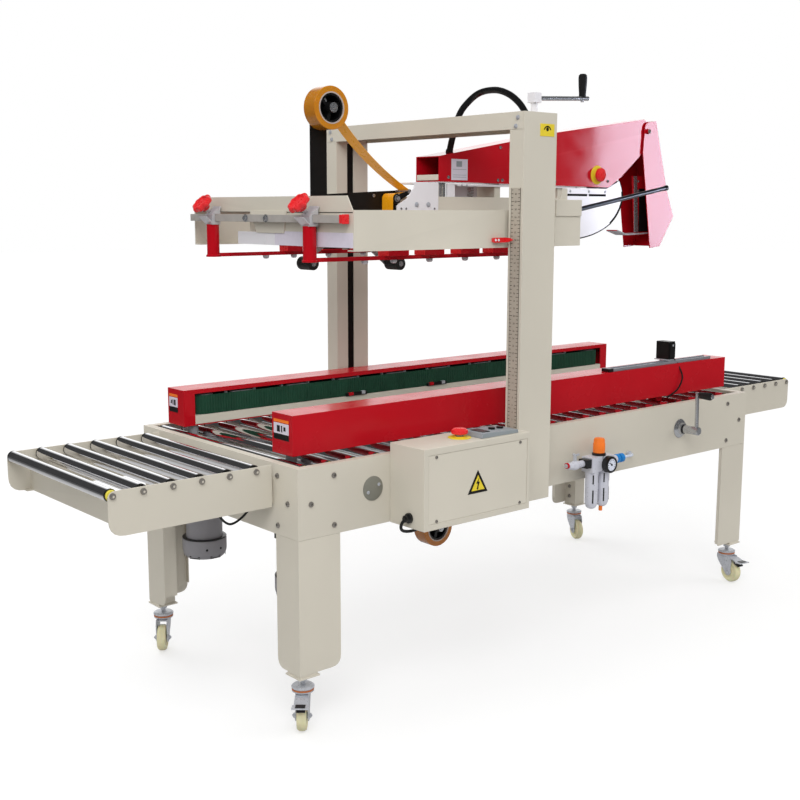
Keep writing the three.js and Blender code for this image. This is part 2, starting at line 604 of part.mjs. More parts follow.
// ---------- kicker ----------
// Two side plates under a sloping top plate, with the leg's pivot pin through them.
function kickerArm() {
  const { half, pivotX, pivotZ } = ARM;
  const side = [[-186, 1337], [-186, 1409], [95, 1458], [307, 1495], [745, 1557, 20], [783, 1530, 20],
    [779, 1490, 20], [738, 1447], [627, 1364], [566, 1330]];
  const roof = [[-186, 1406], [-186, 1409], [95, 1458], [307, 1495], [740, 1556.3], [740, 1553.3],
    [307, 1492], [95, 1455]];
  const floor = [[-186, 1337], [566, 1330], [566, 1333], [-186, 1340]];
  const pin = rod('y', 8, [-half - 14, half + 14], [pivotX, 0, pivotZ], 14);
  const hole = rod('y', 12, [-half - 5, -half + 5], [STOP_ARM[0], 0, STOP_ARM[2]]);
  return cut(join(
    sheetXZ(side, [-half, -half + SHEET]),
    sheetXZ(side, [half - SHEET, half]),
    sheetXZ(roof, [-half, half]),
    sheetXZ(floor, [-half, half]),
    pin,
  ), hole);
}

// Channel open towards the arm, with the steel foot plate inside; swings on the arm's pin.
function kickLeg() {
  const { half, pivotX, pivotZ } = ARM;
  const [inner, outer] = [half + 4, half + 4 + SHEET];
  const side = [[730, 1449], [737, 1546, 22], [796, 1553], [866, 1328], [910, 1236], [838, 1134],
    [785, 1129]];
  const back = [[796, 1553], [866, 1328], [910, 1236], [838, 1134], [835, 1136], [906, 1236], [863, 1327],
    [793, 1552]];
  const foot = [[648, 1188], [700, 1174], [836, 1178], [836, 1181], [700, 1177], [649, 1191]];
  const body = join(
    sheetXZ(side, [-outer, -inner]),
    sheetXZ(side, [inner, outer]),
    sheetXZ(back, [-outer, outer]),
    sheetXZ([[734, 1371], [850, 1371], [893, 1240], [836, 1172], [756, 1172]], [-12, -9]),
    sheetXZ(foot, [-22, 22]),
  );
  return cut(body, rod('y', 8.6, [-outer - 2, outer + 2], [pivotX, 0, pivotZ], 14));
}

// Curved plate under the arm that lays the leading flap down: a bent sheet between two side plates.
function flapPlow() {
  const edge = [[624, 1352], [639, 1318], [641, 1296], [632, 1268], [612, 1239], [582, 1213], [538, 1192],
    [484, 1176], [420, 1166], [330, 1158]];
  const wall = [[355, 1326], [560, 1326], ...edge];
  const bend = [...edge, [330, 1161], [420, 1169], [483, 1179], [537, 1195], [580, 1216], [610, 1241],
    [629, 1269], [638, 1296], [636, 1317], [621, 1351]];
  const half = ARM.half - 2;
  const slots = [[366, 463], [470, 556]].map((x) => box(x, [-half - 1, -half + SHEET + 1], [1301, 1308]));
  return cut(join(
    sheetXZ(wall, [-half, SHEET - half]),
    sheetXZ(wall, [half - SHEET, half]),
    sheetXZ(bend, [-half, half]),
  ), ...slots);
}

// ---------- assembly ----------
add(machine, 'bed_frame', bedFrame(), beigePaint());
add(machine, 'bed_rollers', bedRollers(), chrome());
add(machine, 'leg_outfeed_near', leg(-1, -1, true, LEG.radius), beigePaint());
add(machine, 'leg_outfeed_far', leg(-1, 1, true, LEG.radius), beigePaint());
add(machine, 'leg_infeed_near', leg(1, -1, false, 6), beigePaint());
add(machine, 'leg_infeed_far', leg(1, 1, false, LEG.radius), beigePaint());
caster('outfeed_near', -1, -1, -131, true);
caster('outfeed_far', -1, 1, -129, false);
caster('infeed_near', 1, -1, -100, true);
caster('infeed_far', 1, 1, -112, false);

for (const [name, table] of [['outfeed', OUTFEED], ['infeed', INFEED]]) {
  add(machine, `${name}_table`, tableFrame(table), beigePaint());
  for (let i = 0; i < table.count; i += 1) {
    const x = table.first + i * table.pitch;
    add(machine, `${name}_roller_${i + 1}`, tableRoller(), chrome(), x, 0, ROLLER.height);
  }
}

for (const [name, s] of SIDES) {
  add(machine, `belt_housing_${name}`, beltHousing(s), redPaint());
  add(machine, `drive_belt_${name}`, driveBelt(s), greenRubber());
  add(machine, `belt_motor_${name}`, beltMotor(s), greyPaint());
  add(machine, `column_${name}`, column(s), beigePaint());
  add(machine, `side_guide_${name}`, sideGuide(s), redPaint());
  const edge = [BAR.x - BAR.size / 2, s < 0 ? GUIDE.nearY : GUIDE.farY, BAR.z + BAR.size / 2];
  add(machine, `clamp_knob_${name}`, clampKnob(), redPlastic(), ...edge).rotation.y = -Math.PI / 4;
}
add(machine, 'top_beam', topBeam(), beigePaint());
add(machine, 'lift_crank', liftCrank(), chrome());
add(machine, 'width_crank', widthCrank(), chrome());
add(machine, 'electric_box', electricBox(), beigePaint());
add(machine, 'box_cover', boxCover(), beigePaint());
add(machine, 'stop_button_box', stopButton(), redPlastic(), ...STOP_BOX);
add(machine, 'air_unit', airUnit(), zinc());
const knob = rod('z', 19, [AIR.z + 16.6, AIR.z + 66], [AIR.knobX, AIR.y, 0], 20);
add(machine, 'pressure_knob', knob, orangePlastic());
add(machine, 'head_frame', headFrame(), beigePaint());
add(machine, 'cross_bar', crossBar(), zinc());
add(machine, 'tape_head', tapeHead(), blackPaint());
add(machine, 'tape_roll', tapeRoll(), amberTape(), TAPE.x, TAPE.y, TAPE.z);
add(machine, 'tape_guide_roller', tapeGuideRoller(), zinc(), TAPE_PIN.x, 0, TAPE_PIN.z);
add(machine, 'front_applicator', applicator(-105, -71), blackRubber(), SWING.frontX, 0, SWING.z);
add(machine, 'rear_applicator', applicator(100, -80), blackRubber(), SWING.rearX, 0, SWING.z);
add(machine, 'lower_tape_head', lowerTapeHead(), blackPaint());
add(machine, 'lower_tape_roll', tapeRoll(), amberTape(), LOWER_TAPE.x, 0, LOWER_TAPE.z);
add(machine, 'kicker_arm', kickerArm(), redPaint());
add(machine, 'kick_leg', kickLeg(), redPaint());
add(machine, 'flap_plow', flapPlow(), whitePaint());
add(machine, 'stop_button_arm', stopButton(), redPlastic(), ...STOP_ARM).rotation.x = Math.PI / 2;

const bounds = new THREE.Box3().setFromObject(machine, true);
const centre = bounds.getCenter(new THREE.Vector3());
machine.position.set(-centre.x, -centre.y, -bounds.min.z);

export default machine;
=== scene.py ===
# Carton sealer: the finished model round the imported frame.
# Lengths here are millimetres measured from a point on the floor under the centre of the bed.
import math
import bmesh
import bpy
from mathutils import Matrix, Vector


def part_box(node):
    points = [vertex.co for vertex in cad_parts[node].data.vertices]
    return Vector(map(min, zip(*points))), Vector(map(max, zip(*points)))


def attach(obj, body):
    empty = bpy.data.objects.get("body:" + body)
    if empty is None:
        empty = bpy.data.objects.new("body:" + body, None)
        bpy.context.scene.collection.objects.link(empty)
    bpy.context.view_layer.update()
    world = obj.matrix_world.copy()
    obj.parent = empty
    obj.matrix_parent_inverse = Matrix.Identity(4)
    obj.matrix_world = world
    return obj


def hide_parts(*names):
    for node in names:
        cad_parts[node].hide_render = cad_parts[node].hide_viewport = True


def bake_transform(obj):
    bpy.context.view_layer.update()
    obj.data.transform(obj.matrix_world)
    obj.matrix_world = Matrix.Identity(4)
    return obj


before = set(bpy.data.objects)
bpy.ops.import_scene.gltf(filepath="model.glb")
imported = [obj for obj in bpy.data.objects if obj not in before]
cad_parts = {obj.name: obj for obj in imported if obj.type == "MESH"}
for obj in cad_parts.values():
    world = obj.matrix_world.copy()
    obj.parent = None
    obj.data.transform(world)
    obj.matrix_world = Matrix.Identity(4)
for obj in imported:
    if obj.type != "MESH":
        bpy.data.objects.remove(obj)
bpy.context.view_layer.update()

LOW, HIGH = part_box("bed_frame")
BED_CENTRE = Vector(((LOW.x + HIGH.x) / 2, (LOW.y + HIGH.y) / 2, 0))
SIDES = (("near", -1), ("far", 1))
UP, DOWN = (0, 0, 1), (0, 0, -1)
NEAR, FAR = (0, -1, 0), (0, 1, 0)
INFEED, OUTFEED = (1, 0, 0), (-1, 0, 0)


def place(point):
    return Vector(point) * 0.001 + BED_CENTRE


def middle(node):
    """Centre of a CAD node's box, in millimetres of this file's frame."""
    low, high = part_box(node)
    return ((low + high) / 2 - BED_CENTRE) * 1000


# ---------- solids: every one is (points, faces) ----------
def block(x, y, z):
    points = [(a, b, c) for a in x for b in y for c in z]
    faces = [(0, 1, 3, 2), (4, 6, 7, 5), (0, 4, 5, 1), (2, 3, 7, 6), (0, 2, 6, 4), (1, 5, 7, 3)]
    return points, faces


def moved(solid, matrix):
    return [matrix @ Vector(p) for p in solid[0]], solid[1]


def lathe(profile, origin, axis, segments=32, lobes=0, wave=0.0):
    """Turns (radius, height) pairs about axis, waved into lobes; a profile that closes makes a ring."""
    w = Vector(axis).normalized()
    u = w.orthogonal().normalized()
    v = w.cross(u)
    ring = profile[0] == profile[-1]
    levels = profile[:-1] if ring else profile
    points, rows = [], []
    for radius, height in levels:
        base = Vector(origin) + w * height
        if radius == 0:
            rows.append([len(points)])
            points.append(base)
            continue
        rows.append(range(len(points), len(points) + segments))
        for i in range(segments):
            turn = 2 * math.pi * i / segments
            reach = radius * (1 + wave * math.cos(lobes * turn))
            points.append(base + reach * (u * math.cos(turn) + v * math.sin(turn)))
    faces = []
    pairs = list(zip(rows, rows[1:])) + ([(rows[-1], rows[0])] if ring else [])
    for a, b in pairs:
        for i in range(segments):
            j = (i + 1) % segments
            corners = [a[i % len(a)], a[j % len(a)], b[j % len(b)], b[i % len(b)]]
            faces.append(tuple(dict.fromkeys(corners)))
    if not ring:
        faces += [tuple(row) for row in (rows[0], rows[-1]) if len(row) > 1]
    return points, faces


def sleeve(inner, outer, low, high):
    """Closed profile of a plain ring."""
    return [(inner, low), (outer, low), (outer, high), (inner, high), (inner, low)]


def rod(a, b, radius, segments=24, edge=0.0):
    """A round bar from a to b, with its rims broken by edge."""
    axis = Vector(b) - Vector(a)
    length = axis.length
    profile = [(radius, 0), (radius, length)]
    if edge:
        profile = [(radius - edge, 0), (radius, edge), (radius, length - edge), (radius - edge, length)]
    return lathe([(0, 0)] + profile + [(0, length)], a, axis, segments)


def prism(outline, plane, span):
    """An outline drawn in plane 'xz' or 'yz', given a thickness along the third axis."""
    spot = {"xz": lambda a, b, t: (a, t, b), "yz": lambda a, b, t: (t, a, b)}[plane]
    count = len(outline)
    points = [spot(a, b, t) for t in span for a, b in outline]
    faces = [tuple(range(count)), tuple(range(2 * count - 1, count - 1, -1))]
    faces += [(i, (i + 1) % count, count + (i + 1) % count, count + i) for i in range(count)]
    return points, faces


def disc(centre, radius, count=16, start=0.0, sweep=360.0):
    steps = count if sweep == 360.0 else count - 1
    angles = [math.radians(start + sweep * i / steps) for i in range(count)]
    return [(centre[0] + radius * math.cos(a), centre[1] + radius * math.sin(a)) for a in angles]


def tube(path, radius, segments=10, steps=8):
    """A round cable along a smooth curve through the points of path."""
    knots = [Vector(p) for p in path]
    knots = [2 * knots[0] - knots[1]] + knots + [2 * knots[-1] - knots[-2]]
    line = []
    for p0, p1, p2, p3 in zip(knots, knots[1:], knots[2:], knots[3:]):
        for i in range(steps):
            t = i / steps
            line.append(0.5 * (2 * p1 + (p2 - p0) * t + (2 * p0 - 5 * p1 + 4 * p2 - p3) * t * t
                               + (3 * p1 - p0 - 3 * p2 + p3) * t ** 3))
    line.append(knots[-2])
    points, faces = [], []
    side = (line[1] - line[0]).orthogonal().normalized()
    for i, spot in enumerate(line):
        along = (line[min(i + 1, len(line) - 1)] - line[max(i - 1, 0)]).normalized()
        side = (side - along * side.dot(along)).normalized()
        other = along.cross(side)
        for k in range(segments):
            turn = 2 * math.pi * k / segments
            points.append(spot + radius * (side * math.cos(turn) + other * math.sin(turn)))
    for i in range(len(line) - 1):
        for k in range(segments):
            a, b = i * segments + k, i * segments + (k + 1) % segments
            faces.append((a, b, b + segments, a + segments))
    last = len(points) - segments
    return points, faces + [tuple(range(segments)), tuple(range(last, last + segments))]


def dome_bolt(at, axis, radius=7.0, height=4.2):
    """Button-head screw with a hexagonal socket."""
    socket = 0.42 * radius
    profile = [(0, 0), (radius, 0), (radius, 0.35 * height), (0.85 * radius, 0.78 * height),
               (0.6 * radius, height), (socket, height), (socket, 0.4 * height), (0, 0.4 * height)]
    return lathe(profile, at, axis, 18)


def hex_bolt(at, axis, radius=8.0, height=5.0):
    """Hexagon head on a washer, with the end of its thread showing."""
    washer = lathe([(0, 0), (1.35 * radius, 0), (1.35 * radius, 1.2), (0, 1.2)], at, axis, 20)
    w = Vector(axis).normalized()
    head = lathe([(0, 0), (radius, 0), (radius, 0.8 * height), (0.86 * radius, height), (0, height)],
                 Vector(at) + w * 1.2, axis, 6)
    stub = lathe([(0, 0), (0.45 * radius, 0), (0.45 * radius, 0.5 * height), (0, 0.5 * height)],
                 Vector(at) + w * (1.2 + height), axis, 12)
    return [washer, head, stub]


# ---------- finishes ----------
def linear(code):
    values = [int(code[i:i + 2], 16) / 255 for i in (1, 3, 5)]
    return [v / 12.92 if v <= 0.04045 else ((v + 0.055) / 1.055) ** 2.4 for v in values] + [1.0]


def node(tree, kind, inputs=None, **settings):
    made = tree.nodes.new(kind)
    for key, value in settings.items():
        setattr(made, key, value)
    for key, value in (inputs or {}).items():
        if isinstance(value, bpy.types.NodeSocket):
            tree.links.new(value, made.inputs[key])
        else:
            made.inputs[key].default_value = value
    return made


def ramp(tree, value, low, high, to_low, to_high):
    made = node(tree, "ShaderNodeMapRange", {"Value": value, "From Min": low, "From Max": high,
                                             "To Min": to_low, "To Max": to_high})
    return made.outputs["Result"]


def mix(tree, factor, a, b, blend="MIX"):
    made = node(tree, "ShaderNodeMix", data_type="RGBA", blend_type=blend)
    for index, value in ((0, factor), (6, a), (7, b)):
        if isinstance(value, bpy.types.NodeSocket):
            tree.links.new(value, made.inputs[index])
        else:
            made.inputs[index].default_value = value
    return made.outputs[2]


def noise(tree, vector, size, detail=3.0):
    made = node(tree, "ShaderNodeTexNoise", {"Vector": vector, "Scale": 1 / size, "Detail": detail})
    return made.outputs["Fac"]


DUST = linear("#b9b4a8")


def finish(name, colour, rough, metal=0.0, tint=0.05, patch=0.15, swing=0.06, grain=0.002, bump=0.12,
           depth=0.0002, stretch=(1, 1, 1), dust=0.0, coat=0.0, wear_and_highlight=0.0, pattern=None, **inputs):
    """A procedural material: broad tint and gloss variation, a fine bump, convex edges lightened as wear with a
    painted highlight, dust on top faces.
    """
    material = bpy.data.materials.new(name)
    material.use_nodes = True
    tree = material.node_tree
    shader = tree.nodes["Principled BSDF"]
    where = node(tree, "ShaderNodeTexCoord").outputs["Object"]
    drawn = node(tree, "ShaderNodeMapping", {"Vector": where, "Scale": stretch}).outputs["Vector"]
    broad = noise(tree, where, patch)
    fine = noise(tree, drawn, grain, 2.0)
    base = linear(colour)
    dark = [c * (1 - tint) for c in base[:3]] + [1]
    light = [min(1, c * (1 + tint)) for c in base[:3]] + [1]
    shade = mix(tree, ramp(tree, broad, 0.3, 0.7, 0, 1), dark, light)
    shade = mix(tree, ramp(tree, fine, 0.2, 0.8, 0, 0.35), shade, dark)
    if pattern:
        shade = pattern(tree, where, shade)
    gloss = ramp(tree, noise(tree, drawn, patch * 0.3), 0.3, 0.7, max(0.03, rough - swing), rough + swing)
    # Convex edges lightened in a paler shade of the base colour: partly wear, partly a painted highlight.
    if wear_and_highlight:
        edge = node(tree, "ShaderNodeNewGeometry").outputs["Pointiness"]
        lit_worn_edge = node(tree, "ShaderNodeMath", {0: ramp(tree, edge, 0.52, 0.6, 0, wear_and_highlight), 1: broad},
                    operation="MULTIPLY").outputs[0]
        shade = mix(tree, lit_worn_edge, shade, [min(1, c * 1.5 + 0.05) for c in base[:3]] + [1])
    if dust:
        normal = node(tree, "ShaderNodeNewGeometry").outputs["Normal"]
        up = node(tree, "ShaderNodeSeparateXYZ", {0: normal}).outputs["Z"]
        film = node(tree, "ShaderNodeMath", {0: ramp(tree, up, 0.6, 1, 0, dust), 1: broad},
                    operation="MULTIPLY").outputs[0]
        shade = mix(tree, film, shade, DUST)
        gloss = node(tree, "ShaderNodeMath", {0: gloss, 1: film}, operation="ADD").outputs[0]
    relief = node(tree, "ShaderNodeBump", {"Height": fine, "Strength": bump, "Distance": depth})
    links = {"Base Color": shade, "Roughness": gloss, "Normal": relief.outputs["Normal"]}
    for key, socket in links.items():
        tree.links.new(socket, shader.inputs[key])
    values = {"Metallic": metal, "Coat Weight": coat, "Coat Roughness": 0.08, **inputs}
    for key, value in values.items():
        shader.inputs[key].default_value = value
    return material


def tape_rings(centre):
    """Colour pattern of wound tape: fine rings about the roll's axis."""
    def pattern(tree, where, shade):
        middle_point = place(centre)
        local = node(tree, "ShaderNodeVectorMath", {0: where, 1: middle_point}, operation="SUBTRACT")
        flat = node(tree, "ShaderNodeVectorMath", {0: local.outputs[0], 1: (1, 0, 1)}, operation="MULTIPLY")
        reach = node(tree, "ShaderNodeVectorMath", {0: flat.outputs[0]}, operation="LENGTH").outputs["Value"]
        rings = node(tree, "ShaderNodeTexNoise", {"W": reach, "Scale": 900.0, "Detail": 3.0},
                     noise_dimensions="1D")
        return mix(tree, ramp(tree, rings.outputs["Fac"], 0.3, 0.7, 0, 0.55), shade, linear("#8a4f10"))
    return pattern


BEIGE = finish("beige_powder_coat", "#cec8ba", 0.42, tint=0.025, patch=0.3, grain=0.0009, bump=0.16, dust=0.06,
               wear_and_highlight=0.25, **{"Specular IOR Level": 0.35})
RED = finish("red_enamel", "#b80d1c", 0.1, tint=0.05, patch=0.25, swing=0.04, grain=0.0035, bump=0.05, coat=0.1,
             wear_and_highlight=0.2, **{"Specular IOR Level": 0.22})
UNIT_RED = finish("belt_unit_enamel", "#b80d1c", 0.24, tint=0.05, patch=0.25, swing=0.05, grain=0.0035,
                  bump=0.05, coat=0.04, wear_and_highlight=0.2, **{"Specular IOR Level": 0.18})
WHITE = finish("white_enamel", "#e6e4e8", 0.33, tint=0.02, patch=0.2, grain=0.001, bump=0.08, coat=0.2)
BLACK = finish("black_enamel", "#141415", 0.5, tint=0.2, patch=0.1, grain=0.0012, bump=0.12, dust=0.08,
               **{"Specular IOR Level": 0.3})
GREY = finish("motor_casting", "#8e8c90", 0.5, tint=0.07, patch=0.06, grain=0.0016, bump=0.35, dust=0.1)
CHROME = finish("roller_chrome", "#e9e9ec", 0.09, metal=1.0, tint=0.03, patch=0.12, swing=0.035, grain=0.0007,
                bump=0.05, depth=0.00005, stretch=(0.03, 1, 0.03))
STEEL = finish("plated_steel", "#c2c4c8", 0.26, metal=0.85, tint=0.03, patch=0.05, swing=0.03, grain=0.002,
               bump=0.0)
BOLT = finish("dull_bolt", "#9a958f", 0.38, metal=0.6, tint=0.1, patch=0.015, swing=0.1, grain=0.001, bump=0.12)
ZINC = finish("zinc_plate", "#cbced5", 0.34, metal=0.4, tint=0.1, patch=0.015, swing=0.1, grain=0.001, bump=0.12)
BAR_STEEL = finish("drawn_bar", "#bcb7b1", 0.36, metal=0.2, tint=0.1, patch=0.04, grain=0.0007, bump=0.15,
                   stretch=(1, 0.03, 1))
ROD_STEEL = finish("dark_rod_steel", "#6f7278", 0.3, metal=1.0, tint=0.04, patch=0.05, swing=0.02, grain=0.0008,
                   bump=0.0)
CLAMP_STEEL = finish("clamp_steel", "#d6d6da", 0.34, metal=0.45, tint=0.06, patch=0.04, grain=0.0008, bump=0.08)
ALLOY = finish("air_unit_alloy", "#d3d4de", 0.32, metal=0.15, tint=0.04, patch=0.03, grain=0.0008, bump=0.12)
NYLON = finish("cream_nylon", "#e2dcb4", 0.45, tint=0.06, patch=0.02, grain=0.001, bump=0.1,
               **{"Subsurface Weight": 0.12, "Subsurface Scale": 0.004})
GREEN = finish("green_belt_rubber", "#1d4a36", 0.62, tint=0.14, patch=0.04, grain=0.0009, bump=0.35)
RUBBER = finish("black_rubber", "#1a1b1c", 0.6, tint=0.18, patch=0.03, grain=0.0012, bump=0.3)
PLASTIC = finish("black_plastic", "#131314", 0.35, tint=0.15, patch=0.03, grain=0.001, bump=0.15)
# Near-black finish for sheets set into slots, openings and gaps: painted shade.
PAINTED_SHADE = finish("painted_shade", "#0b0a0a", 0.8, tint=0.3, patch=0.05)
KNOB = finish("red_knob_plastic", "#e3262b", 0.3, tint=0.06, patch=0.02, grain=0.001, bump=0.08, coat=0.2,
              **{"Subsurface Weight": 0.05, "Subsurface Scale": 0.003})
ORANGE = finish("orange_plastic", "#f97d22", 0.38, tint=0.05, patch=0.02, grain=0.001, bump=0.1)
BLUE = finish("blue_plastic", "#1a7fc8", 0.3, tint=0.06, patch=0.02, grain=0.001, bump=0.08)
YELLOW = finish("yellow_plastic", "#e8cf2f", 0.4, tint=0.05, patch=0.02, grain=0.001, bump=0.08)
BUSH = finish("yellow_bush_nylon", "#e6d84e", 0.45, tint=0.06, patch=0.01, grain=0.001, bump=0.1)
PANEL = finish("grey_panel_plastic", "#8f979c", 0.4, tint=0.05, patch=0.03, grain=0.0008, bump=0.15)
CAP_GREY = finish("cover_cap_paint", "#7d7c72", 0.5, tint=0.05, patch=0.03, grain=0.0008, bump=0.15)
PAPER = finish("printed_sheet", "#d9d3e0", 0.6, tint=0.03, patch=0.01, grain=0.0006, bump=0.05)
SCALE = finish("scale_strip", "#b3aa9c", 0.45, tint=0.04, patch=0.03, grain=0.0008, bump=0.05)
TICK = finish("scale_marks", "#4e4942", 0.5, tint=0.1, patch=0.02)
FACE = finish("dial_face", "#dfe4f2", 0.3, tint=0.02, patch=0.01)
ALUMINIUM = finish("aluminium_section", "#a4a6ae", 0.28, metal=0.5, tint=0.05, patch=0.06, grain=0.0008,
                   bump=0.1, stretch=(0.03, 1, 1))
SEAL = finish("orange_seal", "#c2703f", 0.5, tint=0.1, patch=0.01)
TUBE = finish("clear_blue_hose", "#cfd6e6", 0.3, tint=0.04, patch=0.02)
TAPE_SPOT, LOWER_SPOT = middle("tape_roll"), middle("lower_tape_roll")
AMBER = finish("amber_tape_upper", "#d58a17", 0.22, tint=0.07, patch=0.02, grain=0.0006, bump=0.1, coat=0.4,
               pattern=tape_rings(TAPE_SPOT), **{"Subsurface Weight": 0.1, "Subsurface Scale": 0.004})
AMBER_LOW = finish("amber_tape_lower", "#c0741c", 0.22, tint=0.07, patch=0.02, grain=0.0006, bump=0.1, coat=0.4,
                   pattern=tape_rings(LOWER_SPOT))
# The tape web has an amber emission: a painted glow standing in for light shining through the tape.
WEB = finish("amber_tape_web", "#cf8b10", 0.3, tint=0.05, patch=0.05, grain=0.002, bump=0.05, coat=0.1,
             **{"Emission Color": (0.62, 0.27, 0.01, 1.0), "Emission Strength": 0.35})
CARD = finish("cardboard_core", "#b9a9a0", 0.7, tint=0.08, patch=0.01, grain=0.0008, bump=0.3)


# ---------- pieces ----------
def piece(name, body, groups, bevel=0.0, angle=35, replaces=()):
    """One object riding on a body; given anything but a body name, it stays fixed where it is drawn. groups
    pairs each finish with its solids.
    """
    mesh = bmesh.new()
    for index, (_, solids) in enumerate(groups):
        for points, faces in solids:
            made = [mesh.verts.new(place(p)) for p in points]
            for face in faces:
                mesh.faces.new([made[i] for i in face]).material_index = index
    bmesh.ops.recalc_face_normals(mesh, faces=mesh.faces)
    data = bpy.data.meshes.new(name)
    mesh.to_mesh(data)
    mesh.free()
    for material, _ in groups:
        data.materials.append(material)
    data.polygons.foreach_set("use_smooth", [True] * len(data.polygons))
    data.set_sharp_from_angle(angle=math.radians(angle))
    made = bpy.data.objects.new(name, data)
    bpy.context.scene.collection.objects.link(made)
    if bevel:
        soften(made, bevel)
    if isinstance(body, str):
        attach(made, body)
    else:
        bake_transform(made)
    if replaces:
        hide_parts(*replaces)
    return made


def soften(target, width):
    """Breaks the sharp edges, as folded and painted metal has."""
    bevel = target.modifiers.new("edge", "BEVEL")
    bevel.width = width * 0.001
    bevel.segments = 2
    bevel.limit_method = "ANGLE"
    bevel.angle_limit = math.radians(30)
    bevel.harden_normals = True


def carry(names, material, edge=0.9):
    """A CAD node whose shape is right: a real finish, welded corners and broken edges."""
    for name in names:
        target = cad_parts[name]
        target.data.materials.clear()
        target.data.materials.append(material)
        target.data.polygons.foreach_set("use_smooth", [True] * len(target.data.polygons))
        weld = target.modifiers.new("weld", "WELD")
        weld.merge_threshold = 1e-5
        soften(target, edge)
        flat = target.modifiers.new("flat", "WEIGHTED_NORMAL")
        flat.weight = 100


def about(x, y, z, turn=0.0, axis="Z"):
    return Matrix.Translation((x, y, z)) @ Matrix.Rotation(math.radians(turn), 4, axis)


# ---------- carried frame ----------
CORNERS = ("outfeed_near", "outfeed_far", "infeed_near", "infeed_far")
carry(["bed_frame", "outfeed_table", "infeed_table", "column_near", "column_far", "top_beam", "electric_box",
       "box_cover", "head_frame"] + [f"leg_{c}" for c in CORNERS], BEIGE)
carry(["belt_housing_near", "belt_housing_far"], UNIT_RED)
carry(["kicker_arm", "kick_leg"], RED)
carry(["flap_plow"], WHITE)
carry(["cross_bar"], BAR_STEEL, 0.6)
carry(["tape_head", "lower_tape_head"], BLACK)


# ---------- rollers ----------
def roller(x, z, reach, bush=9.0, nose=8.0):
    """Chrome tube with a black rim and a yellow bush at each end: [chrome, black, yellow] solids."""
    near, far = reach
    chrome = rod((x, near + bush, z), (x, far - bush, z), 15, 40, edge=1.2)
    black, yellow = [], []
    for end, inward in ((near, 1), (far, -1)):
        rim = (end + inward * (bush - 4), end + inward * (bush + 0.5))
        black.append(rod((x, rim[0], z), (x, rim[1], z), 15.1, 32, edge=0.6))
        yellow.append(rod((x, end, z), (x, end + inward * (bush - 3.5), z), nose, 28, edge=1))
    return chrome, black, yellow


def roller_piece(name, body, spots, replaced, extra=()):
    parts = [roller(*spot) for spot in spots]
    groups = [(CHROME, [p[0] for p in parts]), (PLASTIC, sum((p[1] for p in parts), [])),
              (BUSH, sum((p[2] for p in parts), []))]
    piece(name, body, groups + list(extra), replaces=[replaced])


for table, count in (("outfeed", 6), ("infeed", 5)):
    low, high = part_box(f"{table}_table")
    bolts = []
    for i in range(1, count + 1):
        node_name = f"{table}_roller_{i}"
        spot, reach = middle(node_name), (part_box(node_name)[1].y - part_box(node_name)[0].y) * 500
        nose = 13 if i == count else 8
        roller_piece(f"{node_name}_tube", node_name, [(spot.x, spot.z, (-reach, reach), 9, nose)], node_name)
        for s in (-1, 1):
            bolts.append(dome_bolt((spot.x, s * (reach + 5), spot.z), (0, s, 0), 7.6, 6))
    piece(f"{table}_table_bolts", "frame", [(BOLT, bolts)])

BED_ROLLER = {"first": -881, "pitch": 75, "end": 860, "z": 640, "half": 346, "slot": (-340, 70), "gap": 70}
spots = []
x = BED_ROLLER["first"]
while x < BED_ROLLER["end"]:
    half, gap = BED_ROLLER["half"], BED_ROLLER["gap"]
    split = BED_ROLLER["slot"][0] < x < BED_ROLLER["slot"][1]
    parts = [(-half, -gap), (gap, half)] if split else [(-half, half)]
    spots += [(x, 640, part, 9, 13) for part in parts]
    x += BED_ROLLER["pitch"]
rails = [block((-891, 881), (s * 361, s * 366), (628, 649)) for s in (-1, 1)]
rails += [block(BED_ROLLER["slot"], (s * 62, s * 66), (628, 651)) for s in (-1, 1)]
rails += [rod((spot[0], s * 345, 640), (spot[0], s * 361, 640), 6, 8) for spot in spots for s in (-1, 1)]
roller_piece("bed_roller_rack", "frame", spots, "bed_rollers", [(ZINC, rails)])


